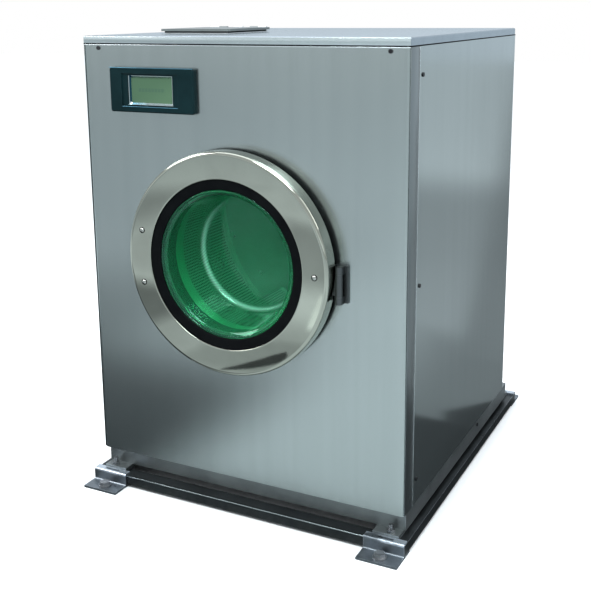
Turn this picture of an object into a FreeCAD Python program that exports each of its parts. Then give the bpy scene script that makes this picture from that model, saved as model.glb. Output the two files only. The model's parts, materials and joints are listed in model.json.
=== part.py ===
import FreeCAD
import Part
import math
import os

os.makedirs("parts", exist_ok=True)

# Front-loading garment cleaning machine on a bolted-down base frame.
# Millimetres. X runs to the right seen from the front, Y to the rear, Z up.
# The origin is the centre of the footprint, on the floor.

# ---------------------------------------------------------------- driving dimensions
# base frame: mitred channel rails on four bent anchor feet
frame_overhang = 14.0
frame_tail = 110.0
rail_height = 26.0
rail_flange = 40.0
rail_wall = 4.0
foot_plate = 6.0
foot_sheet = 5.0
foot_width = 104.0
foot_reach = 53.0
foot_under_rail = 34.0
foot_hook = 22.0
foot_slot_length = 46.0
foot_slot_width = 8.0
foot_slot_shift = 1.0
foot_bend = 4.0
anchor_hole_radius = 9.0
anchor_bolt_radius = 8.0
anchor_setback = 24.0
anchor_washer_radius = 17.0
anchor_washer_thickness = 3.0
anchor_head_height = 9.0
anchor_head_across = 24.0
anchor_tip_gap = 0.5

# machine chassis: four channel rails above the base frame
chassis_inset = 2.0
chassis_height = 46.0
chassis_flange = 40.0
chassis_wall = 3.0
chassis_recess = 19.0
chassis_tail = 48.0
mount_plate_thickness = 10.0
mount_plate_width = 67.0
mount_plate_length = 58.0
mount_plate_inset = 22.0
mount_plate_gap = 1.0
mount_bolt_radius = 6.0
mount_bolt_edge = 13.0
mount_bolt_side = 25.0
mount_bolt_rise = 20.0
nut_across = 19.0
nut_height = 8.0
bolt_clearance = 0.3

# cabinet: the room that it leaves round the tub and the drive
cabinet_setback = 30.0
tub_side_room = 28.0
tub_floor_room = 177.0
tub_head_room = 139.0
drive_rear_room = 15.0
sheet = 2.0
corner_radius = 8.0
cover_fold = 18.0
cover_groove = 3.0
cover_edge_radius = 4.0
cover_rim_inset = 4.0
panel_wrap = 57.0
panel_seam = 0.8
flange_width = 20.0
panel_screw_radius = 5.0
panel_screw_height = 2.5
front_screw_inset = 46.0
front_screw_drop = 9.0
side_screw_setback = 80.0
side_screw_ends = 63.0
chassis_screw_inset = 270.0
chassis_screw_drop = 13.0
rear_screw_inset = 10.0

# door, on the axis of the drum
door_x = -8.0
door_overlap = 55.5
door_face_reach = 58.0
door_depth = 41.0
door_face_slope = 4.0
door_edge_radius = 14.0
door_sheet = 3.0
gasket_land = 26.0
gasket_lip = 2.0
window_radius = 185.0
glass_thickness = 7.0
glass_bite = 15.0
glass_flange_setback = 14.0
glass_flange_thickness = 6.0
bowl_inset = 7.0
bowl_taper = 13.0
bowl_depth = 140.0
bowl_corner_radius = 26.0
clamp_wall_gap = 2.0
clamp_wall_thickness = 6.0
clamp_seat = 12.0
ring_screw_radius = 6.0
ring_screw_height = 2.5
ring_screw_sink = 0.4
ring_screw_land = 32.0
ring_screw_angles = (0.0, 164.0, 196.0)

# door hinge, right of the ring
hinge_side_gap = 10.5
hinge_reach = 20.0
hinge_knuckle_radius = 9.0
hinge_pin_radius = 5.0
hinge_clearance = 0.05
hinge_block_drop = 68.0
hinge_block_height = 90.0
hinge_lug_height = 18.0
hinge_base_thickness = 6.0
hinge_base_width = 34.0
hinge_gap = 0.5
hinge_arm_thickness = 6.0
hinge_arm_length = 80.0

# door lock, left of the opening
latch_thickness = 6.0
latch_height = 24.0
latch_plate_width = 34.0
latch_plate_height = 62.0
latch_plate_thickness = 4.0
latch_reach = 49.0
latch_hole_length = 14.0
latch_hole_height = 12.0
latch_hole_setback = 6.0
latch_slot_side = 10.0
latch_slot_inner = 4.0
latch_slot_margin = 5.0
lock_body_height = 92.0
lock_body_depth = 38.0
lock_body_left = 24.0
lock_body_right = 42.0
lock_bolt_radius = 4.5
lock_bolt_length = 30.0
lock_bolt_rest_gap = 1.0

# tub and drum
opening_gap = 18.0
tub_radius = 403.0
tub_sheet = 3.0
tub_front_setback = 47.0
tub_length = 583.0
tub_rim_width = 9.0
tub_rim_length = 12.0
neck_gap = 12.0
neck_reach = 43.0
seal_land = 14.0
seal_grip = 4.0
seal_clearance = 0.4
seal_length = 30.0
drum_side_gap = 18.0
drum_sheet = 2.0
drum_front_gap = 12.0
drum_back_gap = 40.0
drum_mouth_gap = 10.0
drum_lip_radius = 5.0
hole_radius = 8.0
hole_columns = 15
hole_rows = 4
lifter_count = 3
lifter_phase = -122.0
lifter_height = 85.0
lifter_base_width = 124.0
lifter_top_width = 44.0
lifter_edge_radius = 12.0
lifter_sheet = 2.0
lifter_end_gap = 15.0
spider_arm_width = 64.0
spider_depth = 22.0
spider_arm_depth = 18.0
spider_hub_radius = 62.0
shaft_radius = 30.0

# bearing bulkhead and belt drive
bulkhead_plate = 10.0
housing_radius = 78.0
housing_length = 175.0
housing_flange_radius = 150.0
housing_flange_thickness = 14.0
housing_rib_count = 6
housing_rib_thickness = 10.0
housing_rib_reach = 360.0
housing_bore_gap = 1.2
bearing_radius = 55.0
bearing_width = 25.0
bearing_inset = 14.0
shaft_clearance = 0.05
pulley_gap = 10.0
pulley_width = 40.0
drum_pulley_radius = 250.0
pulley_rim = 16.0
pulley_flange = 4.0
pulley_hub_radius = 52.0
pulley_web = 12.0
pulley_hole_count = 6
pulley_hole_radius = 46.0
motor_pulley_radius = 60.0
motor_inset = 208.0
motor_rise = 120.0
motor_radius = 92.0
motor_length = 215.0
motor_cap = 18.0
motor_cap_step = 6.0
motor_foot_width = 200.0
motor_foot_thickness = 12.0
motor_foot_inset = 10.0
motor_pedestal_width = 140.0
motor_shaft_radius = 14.0
motor_boss_radius = 36.0
motor_boss_length = 10.0
motor_shaft_grip = 30.0
motor_shaft_end_gap = 2.0
belt_thickness = 11.0
belt_stand = 1.0
belt_clearance = 0.4
motor_base_thickness = 6.0
motor_base_lip = 24.0
motor_base_reach = 122.0
motor_base_gap = 8.0

# tub saddles
saddle_thickness = 12.0
saddle_front_setback = 43.0
saddle_rear_setback = 90.0
saddle_inset = 22.0
saddle_shoulder_inset = 116.0
saddle_shoulder_height = 205.0
saddle_cheek_height = 60.0
saddle_gap = 0.3

# control panel
bezel_inset = 86.0
bezel_width = 249.0
bezel_drop = 55.0
bezel_height = 111.0
bezel_thickness = 14.0
bezel_bevel = 3.0
bezel_corner_radius = 6.0
recess_inset = 37.0
recess_width = 166.0
recess_rise = 15.0
recess_height = 81.0
recess_depth = 3.0
screen_inset = 26.0
screen_width = 120.0
screen_rise = 9.0
screen_height = 62.0
screen_frame_width = 5.0
screen_frame_rise = 2.0
screen_frame_edge = 1.0
screen_thickness = 8.0
control_box_shift = 95.0
control_box_width = 330.0
control_box_length = 220.0
control_box_height = 80.0
control_box_top_gap = 24.0

# dispenser
lid_inset = 95.0
lid_width = 215.0
lid_setback = 200.0
lid_length = 230.0
lid_thickness = 6.0
lid_edge_radius = 12.0
hopper_border = 18.0
hopper_flange = 10.0
hopper_wall = 2.0
hopper_depth = 96.0
hopper_outlet_radius = 22.0
hopper_outlet_length = 14.0
gasket_height = 4.0
gasket_width = 8.0
lid_gap = 0.3
lid_pin_radius = 2.5
lid_knuckle_radius = 5.5
lid_knuckle_setback = 7.0
lid_knuckle_foot = 4.5
lid_knuckle_width = 26.0
lid_knuckle_gap = 0.4
hose_radius = 27.0
hose_wall = 4.5
hose_ribs = 6
hose_rib_height = 3.0

# services at the rear
valve_count = 3
valve_inset = 110.0
valve_pitch = 60.0
valve_drop = 69.0
nipple_radius = 13.2
nipple_length = 18.0
nipple_bore = 8.0
valve_flange_radius = 20.0
valve_flange_thickness = 5.0
valve_body = 34.0
valve_body_length = 42.0
valve_coil_radius = 13.0
valve_coil_height = 30.0
drain_shift = 142.0
drain_setback = 160.0
drain_rise = 62.0
drain_radius = 38.0
drain_wall = 4.0
drain_body_radius = 54.0
drain_tail = 50.0
spigot_step = 1.5
sump_radius = 38.0
sump_length = 34.0
actuator_size = 60.0
actuator_sink = 14.0
vent_shift = 158.0
vent_setback = 110.0
vent_drop = 79.0
vent_radius = 25.0
vent_wall = 3.0
vent_bend = 45.0
vent_tail = 30.0
vent_seat_rise = 12.0
gland_inset = 110.0
gland_drop = 69.0
gland_bore = 8.0
gland_thread_radius = 16.0
gland_hex_across = 41.0
gland_hex_height = 12.0
gland_dome_length = 18.0
gland_dome_wall = 4.0
hole_clearance = 0.5
louvre_count = 7
louvre_length = 150.0
louvre_height = 8.0
louvre_pitch = 26.0
louvre_rise = 212.0
louvre_inset = 190.0

# ---------------------------------------------------------------- derived sizes
gasket_radius = window_radius + gasket_land
glass_flange_radius = window_radius + glass_bite
bowl_mouth_radius = window_radius - bowl_inset
bowl_end_radius = bowl_mouth_radius - bowl_taper
clamp_wall_radius = glass_flange_radius + clamp_wall_gap
ring_screw_circle = gasket_radius + ring_screw_land
neck_radius = bowl_mouth_radius + neck_gap
seal_radius = neck_radius + seal_land
front_opening_radius = seal_radius + opening_gap
door_radius = front_opening_radius + door_overlap
drum_mouth_radius = neck_radius + drum_mouth_gap
tub_inner_radius = tub_radius - tub_sheet
drum_radius = tub_inner_radius - drum_side_gap
drum_inner_radius = drum_radius - drum_sheet
bulkhead_radius = tub_radius + tub_rim_width
drive_length = bulkhead_plate + housing_length + pulley_gap + pulley_width
cabinet_width = 2 * (bulkhead_radius + tub_side_room)
cabinet_depth = tub_front_setback + tub_length + drive_length + drive_rear_room

# ---------------------------------------------------------------- derived places
frame_width = cabinet_width + 2 * frame_overhang
frame_length = cabinet_setback + cabinet_depth + frame_tail
frame_front = -frame_length / 2
frame_rear = frame_length / 2
frame_top = foot_plate + rail_height
foot_face = frame_front - foot_sheet
mount_plate_front = foot_face + foot_hook + mount_plate_gap
chassis_width = cabinet_width - 2 * chassis_inset
chassis_bottom = frame_top + mount_plate_thickness
chassis_top = chassis_bottom + chassis_height
cabinet_front = frame_front + cabinet_setback
cabinet_rear = cabinet_front + cabinet_depth
half_cabinet = cabinet_width / 2
door_z = chassis_top + tub_floor_room + tub_radius
cabinet_top = door_z + tub_radius + tub_head_room
cover_bottom = cabinet_top - cover_fold
panel_top = cover_bottom - cover_groove
panel_bottom = chassis_top
side_front = cabinet_front + panel_wrap + panel_seam
inner_front = cabinet_front + sheet
door_face = cabinet_front - door_face_reach
door_back = door_face + door_depth
gasket_face = door_face + door_face_slope
glass_front = door_face + glass_flange_setback
glass_back = glass_front + glass_flange_thickness
bowl_end = glass_back + bowl_depth
clamp_front = glass_back + glass_flange_thickness
hinge_x = door_x + door_radius + hinge_side_gap
hinge_y = cabinet_front - hinge_reach
hinge_block_bottom = door_z - hinge_block_drop
latch_x = door_x - ring_screw_circle
saddle_half_width = chassis_width / 2 - saddle_inset
tub_front = cabinet_front + tub_front_setback
tub_back_face = tub_front + tub_length
neck_front = tub_front - neck_reach
drum_front = tub_front + tub_sheet + drum_front_gap
drum_back_face = tub_back_face - drum_back_gap
saddle_front_y = tub_front + saddle_front_setback
saddle_rear_y = tub_back_face - saddle_rear_setback
bulkhead_back = tub_back_face + bulkhead_plate
housing_back = bulkhead_back + housing_length
pulley_front = housing_back + pulley_gap
pulley_back = pulley_front + pulley_width
pulley_middle = pulley_front + pulley_width / 2
motor_x = half_cabinet - motor_inset
motor_z = chassis_top + motor_rise
motor_boss_front = pulley_front - pulley_gap
motor_back = motor_boss_front - motor_boss_length
motor_front = motor_back - motor_length
belt_width = pulley_width - 2 * pulley_flange - 2 * belt_clearance
pulley_belt_depth = belt_thickness - belt_stand
bezel_left = bezel_inset - half_cabinet
bezel_right = bezel_left + bezel_width
bezel_top = panel_top - bezel_drop
bezel_bottom = bezel_top - bezel_height
recess_left = bezel_left + recess_inset
recess_right = recess_left + recess_width
recess_bottom = bezel_bottom + recess_rise
recess_top = recess_bottom + recess_height
screen_left = recess_left + screen_inset
screen_right = screen_left + screen_width
screen_bottom = recess_bottom + screen_rise
screen_top = screen_bottom + screen_height
control_box_left = control_box_shift - control_box_width / 2
lid_left = lid_inset - half_cabinet
lid_front = cabinet_front + lid_setback
lid_right = lid_left + lid_width
lid_back = lid_front + lid_length
hopper_left = lid_left + hopper_border
hopper_right = lid_right - hopper_border
hopper_front = lid_front + hopper_border
hopper_back = lid_back - hopper_border
hopper_bottom = cabinet_top - hopper_depth
lid_seat = cabinet_top + hopper_wall + gasket_height
lid_bottom = lid_seat + lid_gap
lid_pin_z = lid_bottom + lid_thickness / 2
lid_pin_y = lid_back + lid_knuckle_setback
valve_x = [valve_inset + valve_pitch * i - half_cabinet for i in range(valve_count)]
valve_z = panel_top - valve_drop
drain_x = door_x - drain_shift
drain_y = tub_back_face - drain_setback
drain_z = chassis_top + drain_rise
vent_x = door_x + vent_shift
vent_y = tub_back_face - vent_setback
vent_z = panel_top - vent_drop
gland_x = half_cabinet - gland_inset
gland_z = panel_top - gland_drop
louvre_x = (louvre_inset - half_cabinet, half_cabinet - louvre_inset)
louvre_bottoms = [panel_bottom + louvre_rise + louvre_pitch * i for i in range(louvre_count)]
side_screw_heights = (panel_bottom + side_screw_ends, (panel_bottom + panel_top) / 2,
                      panel_top - side_screw_ends)

X_AXIS = FreeCAD.Vector(1, 0, 0)
Y_AXIS = FreeCAD.Vector(0, 1, 0)
Z_AXIS = FreeCAD.Vector(0, 0, 1)


# ---------------------------------------------------------------- shape helpers
def point(x, y, z):
    return FreeCAD.Vector(x, y, z)


def block(x0, x1, y0, y1, z0, z1):
    """A box between two corners."""
    return Part.makeBox(x1 - x0, y1 - y0, z1 - z0, point(x0, y0, z0))


def rod(radius, start, length, axis):
    """A solid cylinder."""
    return Part.makeCylinder(radius, length, start, axis)


def tube(outer, inner, start, length, axis):
    """A cylinder with a bore right through."""
    return rod(outer, start, length, axis).cut(rod(inner, start, length, axis))


def join(shapes):
    """One solid out of overlapping ones."""
    result = shapes[0]
    for shape in shapes[1:]:
        result = result.fuse(shape)
    return result.removeSplitter()


def mirrored(shape, normal):
    """The mirror image through the origin."""
    return shape.mirror(point(0, 0, 0), normal)


def extrude(points, direction):
    """A prism over a closed outline."""
    wire = Part.makePolygon(points + [points[0]])
    return Part.Face(wire).extrude(direction)


def turn(profile, x, z):
    """Revolves (radius, y) points about the Y axis through (x, z)."""
    points = [point(x + radius, y, z) for radius, y in profile]
    wire = Part.makePolygon(points + [points[0]])
    return Part.Face(wire).revolve(point(x, 0, z), Y_AXIS, 360)


def arc_points(radius, y, bend, start, end, steps):
    """Points of a round corner in a (radius, y) profile."""
    result = []
    for i in range(steps + 1):
        angle = math.radians(start + (end - start) * i / steps)
        result.append((radius + bend * math.cos(angle), y + bend * math.sin(angle)))
    return result


def hexagon(across, start, height, axis):
    """A hexagonal prism, such as a nut or a bolt head."""
    radius = across / math.sqrt(3)
    if abs(axis.z) > 0.5:
        u, v = X_AXIS, Y_AXIS
    else:
        u, v = X_AXIS, Z_AXIS
    points = []
    for i in range(6):
        angle = math.radians(60 * i)
        points.append(start + u * (radius * math.cos(angle)) + v * (radius * math.sin(angle)))
    return extrude(points, axis * height)


def rounded_plate(x0, x1, y0, y1, z0, z1, radius):
    """A box whose upright edges are rounded."""
    shape = block(x0, x1, y0, y1, z0, z1)
    edges = [edge for edge in shape.Edges if is_along(edge, Z_AXIS)]
    return shape.makeFillet(radius, edges)


def is_along(edge, axis):
    """True for a straight edge parallel to the axis."""
    run = edge.Vertexes[-1].Point - edge.Vertexes[0].Point
    return run.Length > 0 and abs(run.dot(axis)) > 0.999 * run.Length


def write(name, shape):
    """Checks and saves one node."""
    if not shape.isValid() or shape.Volume <= 0:
        raise ValueError(name + " is not a valid solid")
    shape.exportStep("parts/" + name + ".step")


# ---------------------------------------------------------------- base frame and feet
def channel_outline(depth, bottom, top, wall):
    """A C section, web at zero, open towards +depth, as (depth, z) points."""
    return [(0, bottom), (depth, bottom), (depth, bottom + wall), (wall, bottom + wall),
            (wall, top - wall), (depth, top - wall), (depth, top), (0, top)]


def mitred_rail_x(half_length, y_outer, inward, bottom, top, flange, wall):
    """A channel rail along X whose ends are cut at 45 degrees."""
    outline = channel_outline(flange, bottom, top, wall)
    points = [point(-half_length, y_outer + inward * d, z) for d, z in outline]
    rail = extrude(points, X_AXIS * (2 * half_length))
    for side in (-1, 1):
        end = side * half_length
        wedge = [point(end, y_outer, bottom), point(end, y_outer + inward * flange, bottom),
                 point(end - side * flange, y_outer + inward * flange, bottom)]
        rail = rail.cut(extrude(wedge, Z_AXIS * (top - bottom)))
    return rail


def mitred_rail_y(y_start, y_end, x_outer, inward, bottom, top, flange, wall):
    """A channel rail along Y whose ends are cut at 45 degrees."""
    outline = channel_outline(flange, bottom, top, wall)
    points = [point(x_outer + inward * d, y_start, z) for d, z in outline]
    rail = extrude(points, Y_AXIS * (y_end - y_start))
    for end, way in ((y_start, 1), (y_end, -1)):
        wedge = [point(x_outer, end, bottom), point(x_outer + inward * flange, end, bottom),
                 point(x_outer + inward * flange, end + way * flange, bottom)]
        rail = rail.cut(extrude(wedge, Z_AXIS * (top - bottom)))
    return rail


def mount_bolt_places():
    """The bolts that hold the chassis plates to the base frame."""
    x = frame_width / 2 - mount_plate_inset - mount_bolt_side
    y = -(mount_plate_front + mount_bolt_edge)
    return [(sx * x, sy * y) for sx in (-1, 1) for sy in (-1, 1)]


def base_rails():
    """The four rails, drilled for the bolts of the chassis plates."""
    half = frame_width / 2
    rails = {
        "base_rail_front": mitred_rail_x(half, frame_front, 1, foot_plate, frame_top,
                                         rail_flange, rail_wall),
        "base_rail_rear": mitred_rail_x(half, frame_rear, -1, foot_plate, frame_top,
                                        rail_flange, rail_wall),
        "base_rail_left": mitred_rail_y(frame_front, frame_rear, -half, 1, foot_plate, frame_top,
                                        rail_flange, rail_wall),
        "base_rail_right": mitred_rail_y(frame_front, frame_rear, half, -1, foot_plate, frame_top,
                                         rail_flange, rail_wall),
    }
    radius = mount_bolt_radius + bolt_clearance
    for x, y in mount_bolt_places():
        drill = rod(radius, point(x, y, frame_top - rail_wall), rail_wall, Z_AXIS)
        for name in ("base_rail_front", "base_rail_rear"):
            rails[name] = rails[name].cut(drill)
    return rails


def foot_front_left():
    """A floor plate with a bent clamp that hooks over the rail."""
    x0 = -frame_width / 2
    x1 = x0 + foot_width
    tip = foot_face - foot_reach + foot_sheet
    floor = block(x0, x1, tip, frame_front + foot_under_rail, 0, foot_plate)
    outer = frame_top + foot_sheet
    web = block(x0, x1, foot_face, frame_front, 0, outer)
    hook = block(x0, x1, foot_face, foot_face + foot_hook, frame_top, outer)
    shape = join([floor, web, hook])
    bends = []
    for edge in shape.Edges:
        middle = edge.CenterOfMass
        outer_bend = abs(middle.z - outer) < 0.01 and abs(middle.y - foot_face) < 0.01
        inner_bend = abs(middle.z - foot_plate) < 0.01 and abs(middle.y - foot_face) < 0.01
        if is_along(edge, X_AXIS) and (outer_bend or inner_bend):
            bends.append(edge)
    shape = shape.makeFillet(foot_bend, bends)
    x = x0 + foot_width / 2
    slot_y = foot_face + foot_hook / 2 + foot_slot_shift
    half = (foot_slot_length - foot_slot_width) / 2
    slot = block(x - half, x + half, slot_y - foot_slot_width / 2, slot_y + foot_slot_width / 2,
                 frame_top, outer)
    for end in (-half, half):
        slot = slot.fuse(rod(foot_slot_width / 2, point(x + end, slot_y, frame_top),
                             foot_sheet, Z_AXIS))
    anchor = rod(anchor_hole_radius, point(x, tip + anchor_setback, 0), foot_plate, Z_AXIS)
    return shape.cut(slot).cut(anchor)


def feet():
    """The four feet, each a mirror image of the front left one."""
    first = foot_front_left()
    return {
        "foot_front_left": first,
        "foot_front_right": mirrored(first, X_AXIS),
        "foot_rear_left": mirrored(first, Y_AXIS),
        "foot_rear_right": mirrored(mirrored(first, X_AXIS), Y_AXIS),
    }


def anchor_bolts():
    """Four floor bolts, each with its round washer."""
    x = frame_width / 2 - foot_width / 2
    y = -(foot_face - foot_reach + foot_sheet + anchor_setback)
    solids = []
    for sx in (-1, 1):
        for sy in (-1, 1):
            base = point(sx * x, sy * y, foot_plate)
            washer = tube(anchor_washer_radius, anchor_hole_radius, base,
                          anchor_washer_thickness, Z_AXIS)
            top = base + Z_AXIS * anchor_washer_thickness
            head = hexagon(anchor_head_across, top, anchor_head_height, Z_AXIS)
            shank = rod(anchor_bolt_radius, point(sx * x, sy * y, anchor_tip_gap),
                        top.z + anchor_head_height / 2 - anchor_tip_gap, Z_AXIS)
            solids.append(washer)
            solids.append(join([head, shank]))
    return Part.makeCompound(solids)


# ---------------------------------------------------------------- chassis
def mount_plates():
    """Plates between the base frame and the chassis, one at each corner."""
    x1 = frame_width / 2 - mount_plate_inset
    x0 = x1 - mount_plate_width
    y0 = mount_plate_front
    y1 = y0 + mount_plate_length
    plate = block(x0, x1, y0, y1, frame_top, chassis_bottom)
    drill = rod(mount_bolt_radius + bolt_clearance,
                point(x1 - mount_bolt_side, y0 + mount_bolt_edge, frame_top),
                mount_plate_thickness, Z_AXIS)
    plate = plate.cut(drill)
    left = mirrored(plate, X_AXIS)
    return Part.makeCompound([plate, left, mirrored(plate, Y_AXIS), mirrored(left, Y_AXIS)])


def mount_bolts():
    """Studs through the plates, with a nut above and a nut under the rail."""
    solids = []
    under = frame_top - rail_wall - nut_height
    for x, y in mount_bolt_places():
        stud = rod(mount_bolt_radius, point(x, y, under), chassis_bottom + mount_bolt_rise - under,
                   Z_AXIS)
        lower = hexagon(nut_across, point(x, y, under), nut_height, Z_AXIS)
        upper = hexagon(nut_across, point(x, y, chassis_bottom), nut_height, Z_AXIS)
        solids.append(join([stud, lower, upper]))
    return Part.makeCompound(solids)


def chassis_rails():
    """The four mitred channel rails that carry the cabinet and the tub."""
    half = chassis_width / 2
    front = cabinet_front + chassis_recess
    rear = cabinet_rear + chassis_tail
    middle = (front + rear) / 2
    section = (chassis_bottom, chassis_top, chassis_flange, chassis_wall)
    return {
        "chassis_rail_front": mitred_rail_x(half, front, 1, *section),
        "chassis_rail_rear": mitred_rail_x(half, rear, -1, *section),
        "chassis_rail_left": mitred_rail_y(front, rear, -half, 1, *section),
        "chassis_rail_right": mitred_rail_y(front, rear, half, -1, *section),
    }


def tub_saddle(y):
    """A cross plate whose top edge is hollowed to carry the tub."""
    seat = tub_radius + saddle_gap
    shoulder = chassis_top + saddle_shoulder_height
    cheek = chassis_top + saddle_cheek_height
    inner = saddle_half_width - saddle_shoulder_inset
    outline = [(-saddle_half_width, chassis_top), (saddle_half_width, chassis_top),
               (saddle_half_width, cheek), (inner + door_x, shoulder),
               (door_x - inner, shoulder), (-saddle_half_width, cheek)]
    plate = extrude([point(x, y, z) for x, z in outline], Y_AXIS * saddle_thickness)
    hollow = rod(seat, point(door_x, y, door_z), saddle_thickness, Y_AXIS)
    return plate.cut(hollow)


def tub_saddle_rear():
    """The rear saddle, open where the drain pipe passes."""
    pipe = rod(drain_radius + saddle_gap, point(drain_x, saddle_rear_y, drain_z),
               saddle_thickness, Y_AXIS)
    return tub_saddle(saddle_rear_y).cut(pipe)


def motor_base():
    """The shelf that carries the motor, from the rear saddle to the right rail."""
    x0 = motor_x - motor_base_reach
    y0 = saddle_rear_y + saddle_thickness + motor_base_gap
    shelf = block(x0, saddle_half_width, y0, motor_back, chassis_top,
                  chassis_top + motor_base_thickness)
    lip = block(x0, saddle_half_width - flange_width, y0, y0 + motor_base_thickness,
                chassis_top, chassis_top + motor_base_lip)
    return join([shelf, lip])


# ---------------------------------------------------------------- cabinet
def front_panel():
    """A wrapped front sheet with openings for the door, the lock and the controls."""
    y1 = cabinet_front + panel_wrap
    outer = block(-half_cabinet, half_cabinet, cabinet_front, y1, panel_bottom, panel_top)
    corners = [edge for edge in outer.Edges
               if is_along(edge, Z_AXIS) and edge.CenterOfMass.y < cabinet_front + 1.0]
    outer = outer.makeFillet(corner_radius, corners)
    inner = block(-half_cabinet + sheet, half_cabinet - sheet, inner_front, y1,
                  panel_bottom + sheet, panel_top - sheet)
    corners = [edge for edge in inner.Edges
               if is_along(edge, Z_AXIS) and edge.CenterOfMass.y < inner_front + 1.0]
    inner = inner.makeFillet(corner_radius - sheet, corners)
    panel = outer.cut(inner)
    panel = panel.cut(rod(front_opening_radius, point(door_x, cabinet_front, door_z),
                          sheet, Y_AXIS))
    panel = panel.cut(latch_slot(cabinet_front, inner_front))
    return panel.cut(block(screen_left - screen_frame_width, screen_right + screen_frame_width,
                           cabinet_front, inner_front, screen_bottom - screen_frame_width,
                           screen_top + screen_frame_width))


def latch_slot(y0, y1):
    """The space that the latch hook swings through."""
    half = latch_height / 2 + latch_slot_margin
    return block(latch_x - latch_thickness / 2 - latch_slot_side,
                 latch_x + latch_thickness / 2 + latch_slot_inner, y0, y1,
                 door_z - half, door_z + half)


def top_cover():
    """A folded lid over the whole cabinet, standing on an inset rim."""
    outer = block(-half_cabinet, half_cabinet, cabinet_front, cabinet_rear,
                  cover_bottom, cabinet_top)
    edges = [edge for edge in outer.Edges
             if is_along(edge, Z_AXIS) or edge.CenterOfMass.z > cabinet_top - 0.01]
    outer = outer.makeFillet(cover_edge_radius, edges)
    inner = block(-half_cabinet + sheet, half_cabinet - sheet, cabinet_front + sheet,
                  cabinet_rear - sheet, cover_bottom, cabinet_top - sheet)
    cover = outer.cut(inner)
    inset = cover_rim_inset
    rim = block(-half_cabinet + inset, half_cabinet - inset, cabinet_front + inset,
                cabinet_rear - inset, panel_top, cabinet_top - sheet)
    inset = inset + sheet
    rim = rim.cut(block(-half_cabinet + inset, half_cabinet - inset, cabinet_front + inset,
                        cabinet_rear - inset, panel_top, cabinet_top - sheet))
    cover = cover.fuse(rim)
    return cover.cut(block(hopper_left, hopper_right, hopper_front, hopper_back,
                           cabinet_top - sheet, cabinet_top)).removeSplitter()


def right_side_panel():
    """A side sheet with a flange along each edge."""
    x1 = half_cabinet
    x0 = x1 - sheet
    inner = x1 - flange_width
    rear = cabinet_rear - sheet
    skin = block(x0, x1, side_front, cabinet_rear, panel_bottom, panel_top)
    front = block(inner, x1, side_front, side_front + sheet, panel_bottom, panel_top)
    back = block(inner, x1, rear - sheet, rear, panel_bottom, panel_top)
    top = block(inner, x1, side_front, rear, panel_top - sheet, panel_top)
    bottom = block(inner, x1, side_front, rear, panel_bottom, panel_bottom + sheet)
    return join([skin, front, back, top, bottom])


def rear_panel():
    """The rear sheet with louvres and the openings for the services."""
    y0 = cabinet_rear - sheet
    half = half_cabinet - sheet
    panel = block(-half, half, y0, cabinet_rear, panel_bottom, panel_top)
    for x in louvre_x:
        for z in louvre_bottoms:
            panel = panel.cut(block(x - louvre_length / 2, x + louvre_length / 2,
                                    y0, cabinet_rear, z, z + louvre_height))
    for x in valve_x:
        panel = panel.cut(rod(valve_flange_radius + hole_clearance, point(x, y0, valve_z),
                              sheet, Y_AXIS))
    panel = panel.cut(rod(drain_radius + hole_clearance, point(drain_x, y0, drain_z),
                          sheet, Y_AXIS))
    panel = panel.cut(rod(vent_radius + hole_clearance, point(vent_x, y0, vent_z),
                          sheet, Y_AXIS))
    return panel.cut(rod(gland_thread_radius + hole_clearance, point(gland_x, y0, gland_z),
                         sheet, Y_AXIS))


def panel_screws():
    """Flat round screw heads that lie on the panels."""
    solids = []
    front_x = half_cabinet - front_screw_inset
    front_z = panel_top - front_screw_drop
    for x in (-front_x, front_x):
        solids.append(rod(panel_screw_radius, point(x, cabinet_front, front_z),
                          panel_screw_height, -Y_AXIS))
    side_y = cabinet_front + side_screw_setback
    for sx in (-1, 1):
        for z in side_screw_heights:
            solids.append(rod(panel_screw_radius, point(sx * half_cabinet, side_y, z),
                              panel_screw_height, X_AXIS * sx))
        solids.append(rod(panel_screw_radius,
                          point(sx * chassis_width / 2, cabinet_rear - chassis_screw_inset,
                                chassis_top - chassis_screw_drop),
                          panel_screw_height, X_AXIS * sx))
        for z in side_screw_heights:
            solids.append(rod(panel_screw_radius,
                              point(sx * (half_cabinet - rear_screw_inset), cabinet_rear, z),
                              panel_screw_height, Y_AXIS))
    return Part.makeCompound(solids)


# ---------------------------------------------------------------- controls
def control_bezel():
    """A moulded frame with bevelled edges and a stepped recess round the display."""
    y0 = cabinet_front - bezel_thickness
    body = block(bezel_left, bezel_right, y0, cabinet_front, bezel_bottom, bezel_top)
    corners = [edge for edge in body.Edges if is_along(edge, Y_AXIS)]
    body = body.makeFillet(bezel_corner_radius, corners)
    rim = [edge for edge in body.Edges
           if abs(edge.BoundBox.YMax - y0) < 0.01 and abs(edge.BoundBox.YMin - y0) < 0.01]
    body = body.makeChamfer(bezel_bevel, rim)
    body = body.cut(block(recess_left, recess_right, y0, y0 + recess_depth,
                          recess_bottom, recess_top))
    return body.cut(block(screen_left - screen_frame_width, screen_right + screen_frame_width,
                          y0, cabinet_front, screen_bottom - screen_frame_width,
                          screen_top + screen_frame_width))


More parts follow.
